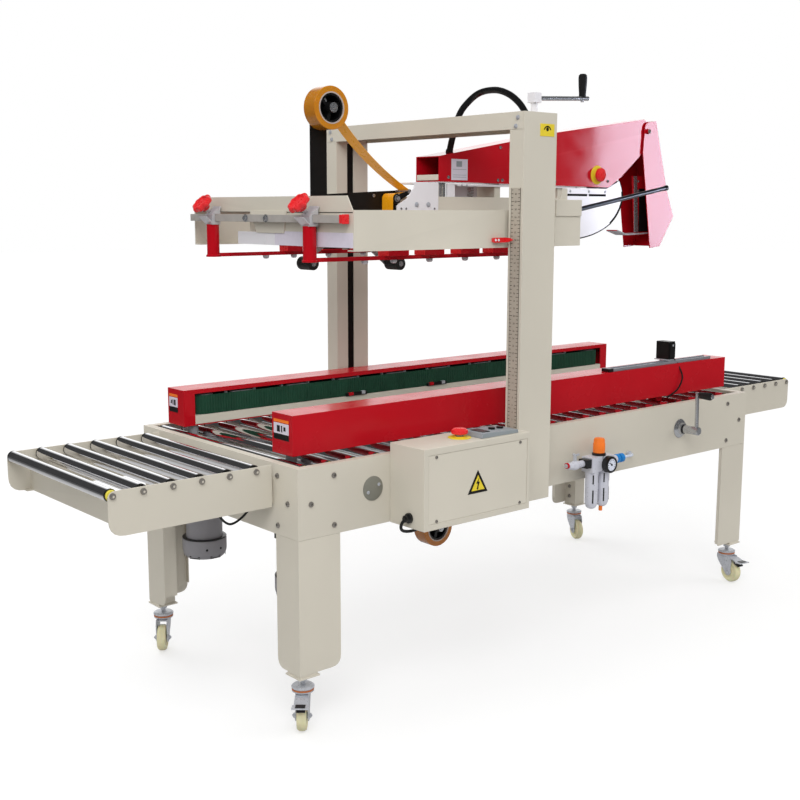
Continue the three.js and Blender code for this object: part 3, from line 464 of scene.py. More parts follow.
# ---------- casters ----------
def caster(corner, turn, pedal):
    sx = -1 if corner.startswith("outfeed") else 1
    sy = -1 if corner.endswith("near") else 1
    swivel = about(sx * 894.6, sy * 344.6, 0, turn)
    steel = [
        rod((0, 0, 104), (0, 0, 131.4), 6, 16),
        rod((0, 0, 118), (0, 0, 126), 11, 6),
        lathe([(0, 0), (26, 0), (28.5, 2.5), (28.5, 6), (25, 8.5), (10, 9.5), (0, 9.5)],
              (0, 0, 99.5), UP, 36),
        lathe([(0, 0), (20, 0), (27.5, 5), (27.5, 8), (0, 8)], (0, 0, 87.5), UP, 36),
        block((-25, 30), (-15, 15), (86.5, 89.5)),
        rod((24, -22, 37.5), (24, 22, 37.5), 4.5, 16),
    ]
    steel += hex_bolt((24, -17, 37.5), NEAR, 6.2, 4.2) + hex_bolt((24, 17, 37.5), FAR, 6.2, 4.2)
    cheek = [(-26, 92), (-27, 80), (-20, 66)] + disc((24, 37.5), 13.5, 14, 205, 190) + [(39, 72), (33, 92)]
    steel += [prism(cheek, "xz", (s * 14, s * 16.8)) for s in (-1, 1)]
    steel += [rod((24, s * 14, 37.5), (24, s * 18.4, 37.5), 11, 24, edge=1.5) for s in (-1, 1)]
    black = []
    if pedal:
        steel.append(prism([(20, 83), (40, 83), (64, 76), (84, 78), (84, 81), (64, 79.5), (41, 87), (20, 87)],
                           "xz", (-17, 17)))
        steel.append(prism([(60, 76), (85, 78), (85, 81.5), (60, 80)], "xz", (-21, 21)))
        black = [prism([(44, 70), (66, 62), (68, 66), (46, 77)], "xz", (-11, 11)),
                 block((63, 82), (-12, 12), (80, 82.6))]
    ring = lathe([(25.6, 0), (27.6, 0.6), (27.6, 3.6), (25.6, 4.2), (25.6, 0)], (0, 0, 95.5), UP, 36)
    groups = [(ZINC, steel), (SEAL, [ring])] + ([(PLASTIC, black)] if black else [])
    piece(f"caster_{corner}_fork", f"caster_fork_{corner}",
          [(m, [moved(s, swivel) for s in solids]) for m, solids in groups], bevel=0.5,
          replaces=[f"caster_fork_{corner}"])
    half = [(7, -11), (17, -11), (19, -9.5), (27, -9.5), (29, -11.5), (33.5, -11.5), (36.8, -7), (37.3, -0.5)]
    tread = half + [(36.7, 0)] + [(radius, -height) for radius, height in reversed(half)] + half[:1]
    hub = sleeve(4.8, 8, -12.5, 12.5)
    centre = (24, 0, 37.5)
    wheel = [(NYLON, [lathe(tread, centre, FAR, 56)]), (STEEL, [lathe(hub, centre, FAR, 20)])]
    piece(f"caster_{corner}_wheel", f"caster_wheel_{corner}",
          [(m, [moved(s, swivel) for s in solids]) for m, solids in wheel], replaces=[f"caster_wheel_{corner}"])


for corner, turn, pedal in zip(CORNERS, (-131, -129, -100, -112), (True, False, True, False)):
    caster(corner, turn, pedal)

# ---------- bed and leg fittings ----------
bolts = []
for sx in (-1, 1):
    for sy in (-1, 1):
        bolts += [dome_bolt((sx * a, sy * 373, z), (0, sy, 0)) for a, z in ((816, 626), (885, 565), (816, 503))]
        bolts += [dome_bolt((sx * 923, sy * a, z), (sx, 0, 0)) for a, z in ((290, 626), (332, 564), (290, 503))]
bolts += [dome_bolt((869.4, 348, z), OUTFEED) for z in (206, 168)]
piece("leg_bolts", "frame", [(BOLT, bolts)])

cap = lathe([(0, 0), (31, 0), (31, 1.5), (28, 3), (0, 3.4)], (-695.5, -373, 575), NEAR, 40)
cap_screws = [dome_bolt((-695.5 + a, -376, 575 + b), NEAR, 4.5, 2.4) for a, b in ((-17, -8), (17, 8))]
piece("side_plate_cap", "frame", [(CAP_GREY, [cap]), (ZINC, cap_screws)])
piece("bed_fittings", "frame", [
    (PLASTIC, [block((-920, -896), (-300, -268), (466, 478)),
               rod((-905, -284, 452), (-905, -284, 468), 9, 16)]),
    (RUBBER, [tube([(-1034, -200, 545), (-1030, -200, 523), (-1003, -200, 501), (-968, -200, 512),
                    (-930, -200, 545)], 3)]),
])


# ---------- side belt units ----------
def stadium(x0, x1, y, radius, count, rib=0.0):
    """Points round a belt loop that carries count ribs of height rib."""
    straight = x1 - x0
    step = (2 * straight + 2 * math.pi * radius) / count
    marks = []
    for i in range(count):
        for share, lift in ((0.0, 0.0), (0.12, rib), (0.62, rib), (0.74, 0.0)):
            marks.append(((i + share) * step, lift))
    points = []
    for s, lift in marks:
        r = radius + lift
        if s < straight:
            points.append((x0 + s, y - r))
        elif s < straight + math.pi * radius:
            turn = (s - straight) / radius - math.pi / 2
            points.append((x1 + r * math.cos(turn), y + r * math.sin(turn)))
        elif s < 2 * straight + math.pi * radius:
            points.append((x1 - (s - straight - math.pi * radius), y + r))
        else:
            turn = (s - 2 * straight - math.pi * radius) / radius + math.pi / 2
            points.append((x0 + r * math.cos(turn), y + r * math.sin(turn)))
    return points


def ribbed_belt(s):
    """Closed belt with vertical ribs outside: an outer and an inner wall joined top and bottom."""
    x0, x1, y, z0, z1 = -808, 824, s * 252, 697, 749
    outer = stadium(x0, x1, y, 38, 412, 2.0)
    inner = stadium(x0, x1, y, 35, 412)
    count = len(outer)
    points = [(a, b, z) for loop in (outer, inner) for z in (z0, z1) for a, b in loop]
    faces = []
    for i in range(count):
        j = (i + 1) % count
        faces += [(i, j, count + j, count + i), (2 * count + i, 3 * count + i, 3 * count + j, 2 * count + j),
                  (i, 2 * count + i, 2 * count + j, j), (count + i, count + j, 3 * count + j, 3 * count + i)]
    return points, faces


for name, s in SIDES:
    unit = f"belt_unit_{name}"
    piece(f"drive_belt_{name}_ribbed", unit, [(GREEN, [ribbed_belt(s)])], angle=25,
          replaces=[f"drive_belt_{name}"])
    tray = block((-849, 865), (s * 211.6, s * 246), (671.2, 695.6))
    piece(f"belt_tray_{name}", unit, [(BEIGE, [tray])], bevel=0.8)
    pulleys = [lathe([(0, 0), (34.5, 0), (34.5, 52), (30, 54), (0, 54)], (px, s * 252, 696), UP, 32)
               for px in (-808, 824)]
    rail = block((-760, 776), (s * 222, s * 282), (699, 747))
    studs = [rod((sx, s * 229, 746), (sx, s * 229, 752.5), 5, 12) for sx in range(-740, 780, 95)]
    plates = [block((sx - 34, sx + 34), (s * 221, s * 236), (746, 750.5)) for sx in range(-690, 780, 190)]
    piece(f"belt_drive_{name}", unit, [(BLACK, [rail]), (GREY, pulleys + plates), (ZINC, studs)])
    low, high = {"near": (221, 284), "far": (246, 291)}[name]
    across = (s * low, s * high)
    marks = [block((-885, -883.6), (s * (low + a * (high - low)), s * (low + b * (high - low))), (c, d))
             for a, b, c, d in ((0.22, 0.42, 722, 738), (0.5, 0.58, 722, 738), (0.66, 0.8, 726, 736))]
    sticker = [(PAPER, [block((-884.8, -883.6), across, (717.5, 738 + 6))]),
               (BLACK, [block((-884.8, -883.6), across, (703, 717.5))] + marks),
               (ORANGE, [block((-884.8, -883.6), across, (746, 753))])]
    piece(f"belt_unit_{name}_label", unit, sticker)

blocks = [((-325, -245), (206, 232)), ((5, 88), (206, 232))]
piece("tray_blocks", "belt_unit_far", [
    (PLASTIC, [block(x, y, (695.8, 706)) for x, y in blocks]),
    (RED, [block((x[0] + 8, x[0] + 26), (205.4, 214), (697, 707)) for x, _ in blocks]),
    (ZINC, [block((x[1] - 22, x[1] - 8), (205.4, 220), (698, 708)) for x, _ in blocks]),
], bevel=1)
piece("belt_unit_strip", "belt_unit_near", [
    (ALUMINIUM, [block((318, 823), (-294, -264), (768.2, 774)), block((318, 823), (-294, -290), (773, 777.5)),
                 block((318, 823), (-268, -264), (773, 777.5))]),
    (PLASTIC, [block((300, 319), (-295, -263), (768.2, 778))]),
], bevel=0.6)
sensor = block((610, 642), (-282, -232), (781, 838))
piece("carton_sensor", "belt_unit_near", [
    (PLASTIC, [sensor, block((613, 639), (-286, -281), (786, 832))]),
    (ZINC, [block((606, 646), (-286, -228), (777.5, 780.8)), block((618, 634), (-262, -240), (768, 778)),
            dome_bolt((642, -270, 832), INFEED, 3, 2), dome_bolt((626, -286, 826), NEAR, 3.5, 2)]),
    (RUBBER, [tube([(632, -282, 788), (645, -296, 760), (652, -308, 722), (630, -306, 684),
                    (586, -300, 662)], 2.6)]),
], bevel=1)


# ---------- belt motors ----------
def motor(name, s):
    """Round motor: fan cowl with its seam at the foot, end bell, gearbox and the shaft into the unit."""
    x, y = -820, s * 230
    body = [
        lathe([(0, 0), (48, 0), (51, 3), (51, 196), (52, 200), (52, 216), (49, 220), (0, 220)],
              (x, y, 340), UP, 56),
        lathe([(0, 0), (40, 0), (52, 3), (58, 9), (61, 18), (62, 26), (62, 53), (60.5, 56), (50, 57), (0, 57)],
              (x, y, 287), UP, 56),
        lathe([(49, 0), (56, 0), (58, 2), (58, 12), (56, 14), (49, 14), (49, 0)], (x, y, 545), UP, 56),
        block((-869, -775), (s * 180, s * 254), (560, 618)),
        block((-862, -782), (s * 186, s * 248), (617, 624)),
        rod((-843.5, s * 235, 617), (-843.5, s * 235, 667), 14, 24),
        block((x - 26, x + 26), (y - 66, y - 46), (428, 506)),
    ]
    seam = [lathe([(52, 0), (61.5, 0), (62, 1), (62, 2.6), (60, 3.4), (52, 3.4), (52, 0)],
                  (x, y, 343.6), UP, 56)]
    seam += [lathe(sleeve(51.2, 53.2, 0, 1.6), (x, y, z), UP, 56) for z in (430, 543)]
    screws = [dome_bolt((x + a, y + b, 319), (a, b, 0), 3.4, 2.2) for a, b in ((-26, -55.8), (16, -59.4))]
    lid = [block((x - 24, x + 24), (y - 68.5, y - 66), (431, 503))]
    lid += [dome_bolt((x + a, y - 68.5, z), NEAR, 3.2, 2.2) for a in (-18, 18) for z in (437, 497)]
    vents = [block((-16, 16), (-57.8, -56.6), (292 + 5 * i, 294.4 + 5 * i)) for i in range(2)]
    vents = [moved(v, about(x, y, 0, turn)) for v in vents for turn in range(0, 360, 60)]
    cable = tube([(x - 6, y - 60, 500), (x - 4, y - 70, 522), (x, y - 66, 545), (x + 6, y - 52, 566)], 4)
    piece(f"belt_motor_{name}_body", f"belt_unit_{name}",
          [(GREY, body), (PLASTIC, seam + vents + screws + [cable]), (PANEL, lid)],
          bevel=0.8, replaces=[f"belt_motor_{name}"])


for name, s in SIDES:
    motor(name, s)

# ---------- gantry ----------
# Black sheets set behind the column slots: painted shade inside the slots.
for name, s in SIDES:
    shade_sheet = block((-194, -160), (s * 377, s * 378.5), (690, 1463))
    piece(f"column_{name}_slot_liner", "frame", [(PAINTED_SHADE, [shade_sheet])])
ruler = [block((-233, -232.1), (-417, -383), (673, 1314))]
marks = [block((-233.3, -232.5), (y, y + 0.9), (673, 1314)) for y in (-417, -384)]
for i in range(64):
    z, long = 678 + 10 * i, 10 if i % 5 == 0 else 7
    spans = ((-416, -416 + long), (-384 - long, -384))
    marks += [block((-233.3, -232.5), span, (z, z + 1.5)) for span in spans]
piece("height_ruler", "frame", [(SCALE, ruler), (TICK, marks)])


def digits(name, body, finish_used, numbers, size):
    """Plain scale numbers as thin solid text, standing on a face that looks along -X."""
    bm = bmesh.new()
    for value, spot in numbers:
        curve = bpy.data.curves.new(f"{name}_{value}", "FONT")
        curve.body = str(value)
        curve.size = size
        curve.extrude = 0.2
        curve.align_x = "CENTER"
        holder = bpy.data.objects.new("holder", curve)
        bpy.context.scene.collection.objects.link(holder)
        bpy.context.view_layer.update()
        mesh = bpy.data.meshes.new_from_object(holder)
        turn = Matrix(((0, 0, -1), (-1, 0, 0), (0, 1, 0))).to_4x4()
        shift = Matrix.Translation(place(spot))
        mesh.transform(shift @ Matrix.Scale(0.001, 4) @ turn)
        bm.from_mesh(mesh)
        bpy.data.objects.remove(holder)
        bpy.data.curves.remove(curve)
        bpy.data.meshes.remove(mesh)
    bmesh.ops.remove_doubles(bm, verts=bm.verts, dist=1e-6)
    data = bpy.data.meshes.new(name)
    bm.to_mesh(data)
    bm.free()
    data.materials.append(finish_used)
    made = bpy.data.objects.new(name, data)
    bpy.context.scene.collection.objects.link(made)
    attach(made, body)


numbers = [(2 * n, (-233, -400, 678 + 20 * n - 2)) for n in range(1, 32)]
digits("height_ruler_numbers", "frame", TICK, numbers, 7)

screws = [hex_bolt((-232, s * y, z), OUTFEED, 4.6, 3.4) for y, z in ((402, 1494), (395, 1472)) for s in (-1, 1)]
piece("gantry_screws", "frame", [(ZINC, sum(screws, []))])
arch = disc((-145, 1460), 15, 14, 20, 140) + disc((-145, 1460), 11.5, 14, 160, -140)
piece("gantry_label", "frame", [
    (YELLOW, [block((-172, -118), (-425.9, -424.8), (1448, 1480))]),
    (BLACK, [prism(arch, "xz", (-426.2, -425.4)), rod((-145, -425.4, 1466), (-145, -426.3, 1466), 5, 16)]),
])

piece("lift_crank_handle", "lift_crank", [
    (STEEL, [rod((-168, -398, 720), (-168, -398, 1509), 8, 20),
             rod((-160, -398, 1546), (46, -398, 1558), 6, 20, edge=1)]),
    (WHITE, [rod((-168, -398, 1509), (-168, -398, 1541), 9, 24, edge=1.2),
             block((-180, -154), (-411, -385), (1534, 1560))]),
    (ZINC, [rod((22, -398, 1547), (22, -398, 1566), 4.5, 16)]),
    (RUBBER, [lathe([(0, 0), (9, 0), (10, 2), (9.4, 6), (11.2, 30), (12, 50), (11, 58), (7, 61.5), (0, 62)],
                    (22, -398, 1560), UP, 28)]),
], bevel=0.4, replaces=["lift_crank"])

collar = [lathe([(0, 0), (30, 0), (30, 2), (26, 6), (19, 9), (17, 16), (0, 16)],
                (558, -373.2, 575), NEAR, 40)]
collar += [dome_bolt((558 + 23 * math.cos(a), -377, 575 + 23 * math.sin(a)), NEAR, 3.8, 3)
           for a in (0.6, 2.7, 4.8)]
bush = rod((558, -388, 575), (558, -393, 575), 14.4, 24)
piece("width_crank_collar", "frame", [(STEEL, collar), (PLASTIC, [bush])])
piece("width_crank_handle", "width_crank", [
    (STEEL, [rod((558, -393, 575), (558, -447, 575), 13, 32, edge=1.5),
             rod((558, 360, 575), (558, -393, 575), 10, 20),
             rod((558, -437, 575), (554, -437, 698), 6, 20, edge=1),
             rod((554, -434, 690), (554, -492, 690), 4, 16),
             rod((554, -491, 690), (554, -494.6, 690), 7.6, 20, edge=1)]),
    (RUBBER, [lathe([(0, 0), (9.5, 0), (10.5, 2), (10.5, 12), (11.6, 28), (12, 38), (10.5, 42), (8.4, 43),
                     (0, 43)], (554, -447, 690), NEAR, 28)]),
], bevel=0.4, replaces=["width_crank"])

# ---------- electric box ----------
screws = [dome_bolt((a, -501, z), NEAR, 4.2, 2.8)
          for a, z in ((-599, 661), (-305, 661), (-598, 500), (-304, 500))]
triangle = [(-492, 550), (-423, 550), (-457.5, 609)]
inset = [(-480.5, 557), (-434.5, 557), (-457.5, 596)]
flash = [(-453, 590), (-464, 575), (-458.6, 574), (-461, 562), (-463.6, 563), (-458.6, 558), (-455.4, 564.4),
         (-457.6, 563), (-452, 578), (-457, 579)]
piece("box_cover_screws", "frame", [(BOLT, screws)])
piece("box_hazard_sign", "frame", [
    (BLACK, [prism(triangle, "xz", (-501.8, -500.6)), prism(flash, "xz", (-502.6, -501.8))]),
    (YELLOW, [prism(inset, "xz", (-502.2, -501))]),
])
gland = [lathe([(0, 0), (13, 0), (13, 7), (9, 12), (9, 17), (5, 20), (0, 20)], (-640, -449, 505), OUTFEED, 20)]
piece("box_cable_gland", "frame", [
    (PLASTIC, gland),
    (RUBBER, [tube([(-652, -449, 505), (-663, -448, 497), (-665, -445, 484), (-652, -440, 472),
                    (-620, -436, 466), (-580, -424, 468), (-560, -400, 479)], 4)]),
])
piece("box_panel", "frame", [
    (PANEL, [prism([(-434, 684.2), (-300, 684.2), (-302, 693), (-430, 697)], "xz", (-490, -412))]),
    (PLASTIC, [block((-420, -392), (-476, -430), (693, 698)), rod((-360, -450, 694), (-360, -450, 700), 9, 20),
               rod((-330, -450, 693), (-330, -450, 699), 9, 20)]),
], bevel=1.2)


def stop_button(name, body, at, axis, node_name, base):
    """Mushroom button: red cap on a grey stem, over a yellow disc that stays on the panel."""
    cap = [(0, 10.6), (19, 9.6), (21.8, 12), (22.4, 15.6), (20.6, 20.6), (14.6, 24.4), (6, 25.3), (0, 25.4)]
    stem = [(0, -16), (10.5, -16), (10.5, 12), (0, 12)]
    ring = [(11.4, 0), (30, 0), (30, 1.4), (27, 2.4), (17, 2.6), (15, 4.2), (11.4, 4.2), (11.4, 0)]
    piece(f"{name}_cap", body, [(KNOB, [lathe(cap, at, axis, 32)]), (PANEL, [lathe(stem, at, axis, 24)])],
          replaces=[node_name])
    piece(f"{name}_ring", base, [(YELLOW, [lathe(ring, at, axis, 36)])])


stop_button("box_stop", "stop_button_box", (-465, -440, 684.2), UP, "stop_button_box", "frame")
stop_button("arm_stop", "stop_button_arm", (505, -50.2, 1369), NEAR, "stop_button_arm", "head")

# ---------- air unit on the near side plate ----------
AIR = {"y": -416, "filter": 86, "regulator": 134, "gauge": (128, -436, 531), "knob": 115, "pipe": 534}
EDGE_Y = -373


def bowl(x, bottom):
    shape = [(0, bottom), (8, bottom), (14, bottom + 4), (18, bottom + 13), (19, bottom + 24), (19, 502),
             (19.8, 503), (19.8, 514), (0, 514)]
    return lathe(shape, (x, AIR["y"], 0), UP, 36)


def bowl_slot(x, low, high, turn):
    return moved(block((-2, 2), (-20, -17), (low, high)), about(x, AIR["y"], 0, turn))


def air_unit():
    y, pipe, regulator, filter_x = AIR["y"], AIR["pipe"], AIR["regulator"], AIR["filter"]
    gauge_x, gauge_y, gauge_z = AIR["gauge"]
    alloy = [
        block((64, 109), (y - 20, y + 20), (512, 556)), block((110.5, 158), (y - 21, y + 19), (512, 555)),
        lathe([(0, 0), (9, 0), (10, 3), (10, 16), (13, 20), (14, 28), (13, 36), (10, 40), (10, 62), (0, 62)],
              (-18, y, 540), INFEED, 28), rod((158, y, pipe), (190, y, pipe), 12, 24, edge=1),
        bowl(filter_x, 402), bowl(regulator, 402), block((92, 148), (y + 17, EDGE_Y), (523, 548)),
    ]
    dark = [bowl_slot(x, *span, turn) for x in (filter_x, regulator) for span in ((477, 504), (420, 459))
            for turn in (-36, 54, 144)]
    dark += [
        lathe([(0, 0), (19, 0), (20.5, 2), (20.5, 7), (17, 9), (0, 9)], (AIR["knob"], y, 554.5), UP, 32),
        lathe([(0, 0), (23.4, 0), (24.5, 2), (24.5, 17), (22.4, 20), (18.6, 20), (17.6, 17.4), (0, 17.4)],
              (gauge_x, gauge_y, gauge_z), NEAR, 48),
        block((44, 65), (y - 17, y + 15), (527, 552)),
        rod((gauge_x, gauge_y - 17, gauge_z), (gauge_x, gauge_y - 19.4, gauge_z), 3, 12),
        moved(block((-1.2, 1.2), (-18.9, -18.2), (-3, 12)), about(gauge_x, gauge_y, gauge_z, -50, "Y")),
        block((108.6, 110.8), (y - 20.6, y + 18.6), (513, 556)),
    ]
    for i in range(9):
        tick = block((-0.7, 0.7), (-18.6, -18), (12, 15.5))
        dark.append(moved(tick, about(gauge_x, gauge_y, gauge_z, -120 + 30 * i, "Y")))
    face = rod((gauge_x, gauge_y - 17, gauge_z), (gauge_x, gauge_y - 18.2, gauge_z), 17.8, 40)
    blue = [lathe([(0, 0), (11, 0), (13.4, 2), (13.4, 12), (9, 15), (0, 15)], (x, y, pipe), INFEED, 28)
            for x in (190, 209)]
    lever = [rod((10, y, 552), (10, y, 566), 6, 16, edge=1), rod((10, y, 564), (4, y, 574), 4, 12, edge=1),
             rod((3, y, 568), (20, y - 8, 572), 3.4, 12, edge=1)]
    drain = rod((AIR["regulator"] - 5, y, 388), (AIR["regulator"] - 5, y, 403), 5.5, 16, edge=1)
    ring = lathe(sleeve(6, 8.4, 0, 6), (-26, y, 543), INFEED, 24)
    stub = rod((-29, y, 543), (-18, y, 543), 6, 16, edge=1)
    piece("air_unit_body", "frame", [
        (ALLOY, alloy), (PLASTIC, dark), (FACE, [face]), (BLUE, blue), (ORANGE, [drain]), (RED, [ring]),
        (ZINC, [stub] + lever),
    ], bevel=1.0, replaces=["air_unit"])
    hose = tube([(223, y, pipe), (246, y, pipe), (274, y + 8, 531), (297, EDGE_Y - 20, 529),
                 (303, EDGE_Y, 528)], 4)
    nut = rod((303, EDGE_Y, 528), (303, EDGE_Y - 8, 528), 9, 6)
    piece("air_hose", "frame", [(TUBE, [hose]), (ZINC, [nut])])
    grip = [(0, 562), (16, 562), (17, 566), (17, 590), (15.8, 592), (15.8, 601), (13, 606), (0, 607)]
    piece("pressure_knob_cap", "pressure_knob", [
        (ORANGE, [lathe(grip, (AIR["knob"], y, 0), UP, 48, lobes=16, wave=0.03)]),
    ], replaces=["pressure_knob"])


air_unit()

# ---------- head ----------
sleeves = [rod((60, s * 359, 1258), (458, s * 359, 1323), 6.6, 24) for s in (-1, 1)]
rod_tips = [rod((452, s * 359, 1322), (464, s * 359, 1324), 8, 20, edge=1) for s in (-1, 1)]
piece("flap_rods", "head", [(ROD_STEEL, sleeves), (PLASTIC, rod_tips)])
# The dark strip along the top of the front plates is a painted shadow line.
piece("head_front_plates", "head", [
    (WHITE, [block((-746.2, -744.5), (8.5, 139), (1166, 1199)),
             prism([(8, 1166), (-35, 1166), (-35, 1248), (8, 1248)], "yz", (-746.1, -744.5))]),
    (PAPER, [block((-746, -744.5), (-362, -35.2), (1166, 1202))]),
    (PAINTED_SHADE, [block((-746.2, -745.1), (-361, 361), (1249.4, 1251))]),
], bevel=0.5)
trapezoid = [(-86, 1254), (75, 1254), (45, 1197), (-72, 1197)]
piece("bar_bracket", "head", [(BEIGE, [prism(trapezoid, "yz", (-749.4, -745.4))])], bevel=0.8)
bar_bolts = sum((hex_bolt((-767.6, y, 1234.5), OUTFEED, 7.5, 4.5) for y in (67, -28)), [])
piece("bar_bolts", "head", [(STEEL, bar_bolts)])
end_cap = [block((-768.5, -749.1), (-351.5, -337), (1224, 1245)),
           block((-769.4, -749.1), (-352.4, -349), (1223, 1246))]
piece("bar_end_cap", "head", [(KNOB, end_cap)], bevel=1.2)

tip = [(-374, 1172), (-374, 1185), (-392, 1184), (-405, 1179.5), (-388, 1173)]
piece("height_pointer", "head", [
    (KNOB, [block((-289, -243), (-378, -374), (1172, 1185)), block((-286, -262), (-375, -366), (1174, 1184)),
            prism(tip, "yz", (-246, -243))]),
    (WHITE, [dome_bolt((x, -378, 1178.5), NEAR, 3.4, 2) for x in (-283, -272)]),
], bevel=0.6)

shroud = [(-345, 1254), (-345, 1268), (-308, 1288), (-282, 1318), (-278, 1334), (-190, 1334), (-190, 1254)]
piece("tape_mount_shroud", "head", [
    (WHITE, [prism(shroud, "xz", (-52, -48)), block((-282, -190), (-50, 48), (1329, 1333)),
             block((-194, -190), (-50, 48), (1254, 1333))]),
    (ZINC, sum((hex_bolt((x, -52, 1271.5), NEAR, 5.4, 4) for x in (-273, -229)), [])),
    (STEEL, [dome_bolt((x, -52, 1260), NEAR, 3.2, 2.2) for x in (-330, -312, -205)]),
], bevel=1)
posts = [rod((x, y, 1294), (x, y, 1334), 6, 20, edge=0.6) for x, y in ((-172, -38), (-158, -38), (-172, 38))]
coil = []
for i in range(97):
    turn = 2 * math.pi * i / 16
    coil.append((-42 + 9 * math.cos(turn), -30 + 9 * math.sin(turn), 1296 + 27 * i / 96))
piece("arm_mount", "head", [
    (STEEL, posts + [tube(coil, 1.3, 6, 1)]),
    (WHITE, [block((-148, -118), (-44, -38), (1294, 1332)), block((-84, 26), (12, 16), (1294, 1332)),
             block((-110, 430), (-46, -43), (1325, 1331))]),
    (ZINC, [dome_bolt((x, -46, 1328), NEAR, 3.2, 2) for x in (-92, -72, 118, 300, 410)]),
], bevel=0.6)
lines = [block((-134, -80), (-51.8, -51.2), (z, z + 1.2)) for z in (1350, 1356, 1372)]
lines.append(block((-120, -98), (-51.8, -51.2), (1380, 1396)))
piece("arm_sheet", "head", [(PAPER, [block((-139, -75), (-51.4, -50.1), (1342, 1402))]), (PANEL, lines)])
first, last = (-150, 1350), [(305, 1345), (60, 1441), (280, 1478), (560, 1350)]
arm_screws = [dome_bolt((x, -50, z), NEAR, 5, 3) for x, z in [first, (52, 1345), (70, 1345)] + last]
arm_screws += [dome_bolt((x, 50, z), FAR, 5, 3) for x, z in [first, (60, 1345)] + last]
piece("arm_screws", "head", [(STEEL, arm_screws)])
piece("rod_mounts", "head", [
    (BEIGE, [block((-40, 66), (s * 361, s * 369), (1240, 1285)) for s in (-1, 1)]
     + [prism([(-22, 1284), (10, 1284), (10, 1316), (-8, 1316)], "xz", (s * 360, s * 364)) for s in (-1, 1)]),
], bevel=1)

# ---------- side guides ----------
BAR_X = (-767.5, -749.4)
for name, s in SIDES:
    y = middle(f"clamp_knob_{name}").y
    x0, x1 = BAR_X
    clamp = [(x0 - 9, 1216), (x1 - 0.5, 1216), (x1 - 0.5, 1224.6), (x0 - 0.4, 1224.6), (x0 - 0.4, 1244.4),
             (x1 - 0.5, 1244.4), (x1 - 0.5, 1257), (x0 + 6, 1257), (x0 - 9, 1242)]
    lower_lip = [(x0 - 9, 1219), (x0 - 9, 1223), (x0 - 27, 1240), (x0 - 29.4, 1237.6)]
    upper_lip = [(x0 + 5, 1256), (x1 - 0.5, 1256), (x1 + 3, 1264), (x1, 1265.4), (x1 - 5, 1257)]
    tube_x = -763.5
    span = (y - 19, y + 19)
    brackets, folds = [], []
    for low in (-528, -402, -270, -147):
        brackets.append(block((low, low + 70), (y - 20, y + 20), (1138, 1155)))
        brackets.append(block((low - 3, low + 73), (y - 20, y + 20), (1154, 1157)))
        folds += [block((x - 1.2, x + 1.2), (y - 20.6, y + 20.6), (1138.5, 1157)) for x in (low, low + 70)]
    nuts = [lathe([(0, 0), (9, 0), (9, 5), (6.5, 9), (0, 10)], (x, y, 1128), DOWN, 20)
            for x in (-590, -493, -367, -235, -112)]
    piece(f"side_guide_{name}_rail", f"side_guide_{name}", [
        (RED, [rod((tube_x, y, 1128), (tube_x, y, 1217), 17.2, 36, edge=0.8),
               lathe([(17, 0), (20, 0), (20, 5), (17.5, 7), (17, 0)], (tube_x, y, 1128), UP, 36),
               block((-778, -65), (y - 5, y + 5), (1128, 1138.5))] + brackets),
        (KNOB, folds),
        (CLAMP_STEEL, [prism(clamp, "xz", span), prism(lower_lip, "xz", span), prism(upper_lip, "xz", span)]),
        (ZINC, nuts),
    ], bevel=0.7, replaces=[f"side_guide_{name}"])
    edge = (x0, y, 1244.4)
    lean = (-1, 0, 1)
    stem = Vector(lean).normalized()
    star = [(0, 31.6), (24, 31.6), (28, 34), (29, 37), (29, 43), (26.6, 47), (24, 48), (21, 48), (19, 43.5),
            (0, 43.5)]
    skirt = [(0, 20), (11, 20), (13, 24), (14.6, 32.5), (0, 32.5)]
    piece(f"clamp_knob_{name}_star", f"clamp_knob_{name}", [
        (KNOB, [lathe(star, edge, lean, 96, lobes=8, wave=0.065), lathe(skirt, edge, lean, 32)]),
        (STEEL, [rod(Vector(edge) + stem * 6.8, Vector(edge) + stem * 21, 4, 16)]),
    ], bevel=0.8, replaces=[f"clamp_knob_{name}"])


# ---------- tape ----------
def ribbon(path, span, thick=0.7):
    """A strip standing between two Y values, following points in the XZ plane."""
    normals = []
    for i, _ in enumerate(path):
        a, b = path[max(i - 1, 0)], path[min(i + 1, len(path) - 1)]
        along = Vector((b[0] - a[0], b[1] - a[1])).normalized()
        normals.append(Vector((-along.y, along.x)) * thick / 2)
    one = [(p[0] + n.x, p[1] + n.y) for p, n in zip(path, normals)]
    other = [(p[0] - n.x, p[1] - n.y) for p, n in zip(path, normals)]
    points = [(a, t, b) for t in span for a, b in one + other]
    n = len(path)
    faces = []
    for i in range(n - 1):
        faces += [(i, i + 1, n + i + 1, n + i), (2 * n + i, 3 * n + i, 3 * n + i + 1, 2 * n + i + 1),
                  (i, 2 * n + i, 2 * n + i + 1, i + 1), (n + i, n + i + 1, 3 * n + i + 1, 3 * n + i)]
    faces += [(0, n, 3 * n, 2 * n), (n - 1, 3 * n - 1, 4 * n - 1, 2 * n - 1)]
    return points, faces


def axle_end(spot):
    """Nut and thread at the near end of a tape roll's axle."""
    return [rod((spot.x, -34, spot.z), (spot.x, -38, spot.z), 10.5, 6),
            rod((spot.x, -38, spot.z), (spot.x, -41, spot.z), 5, 16)]


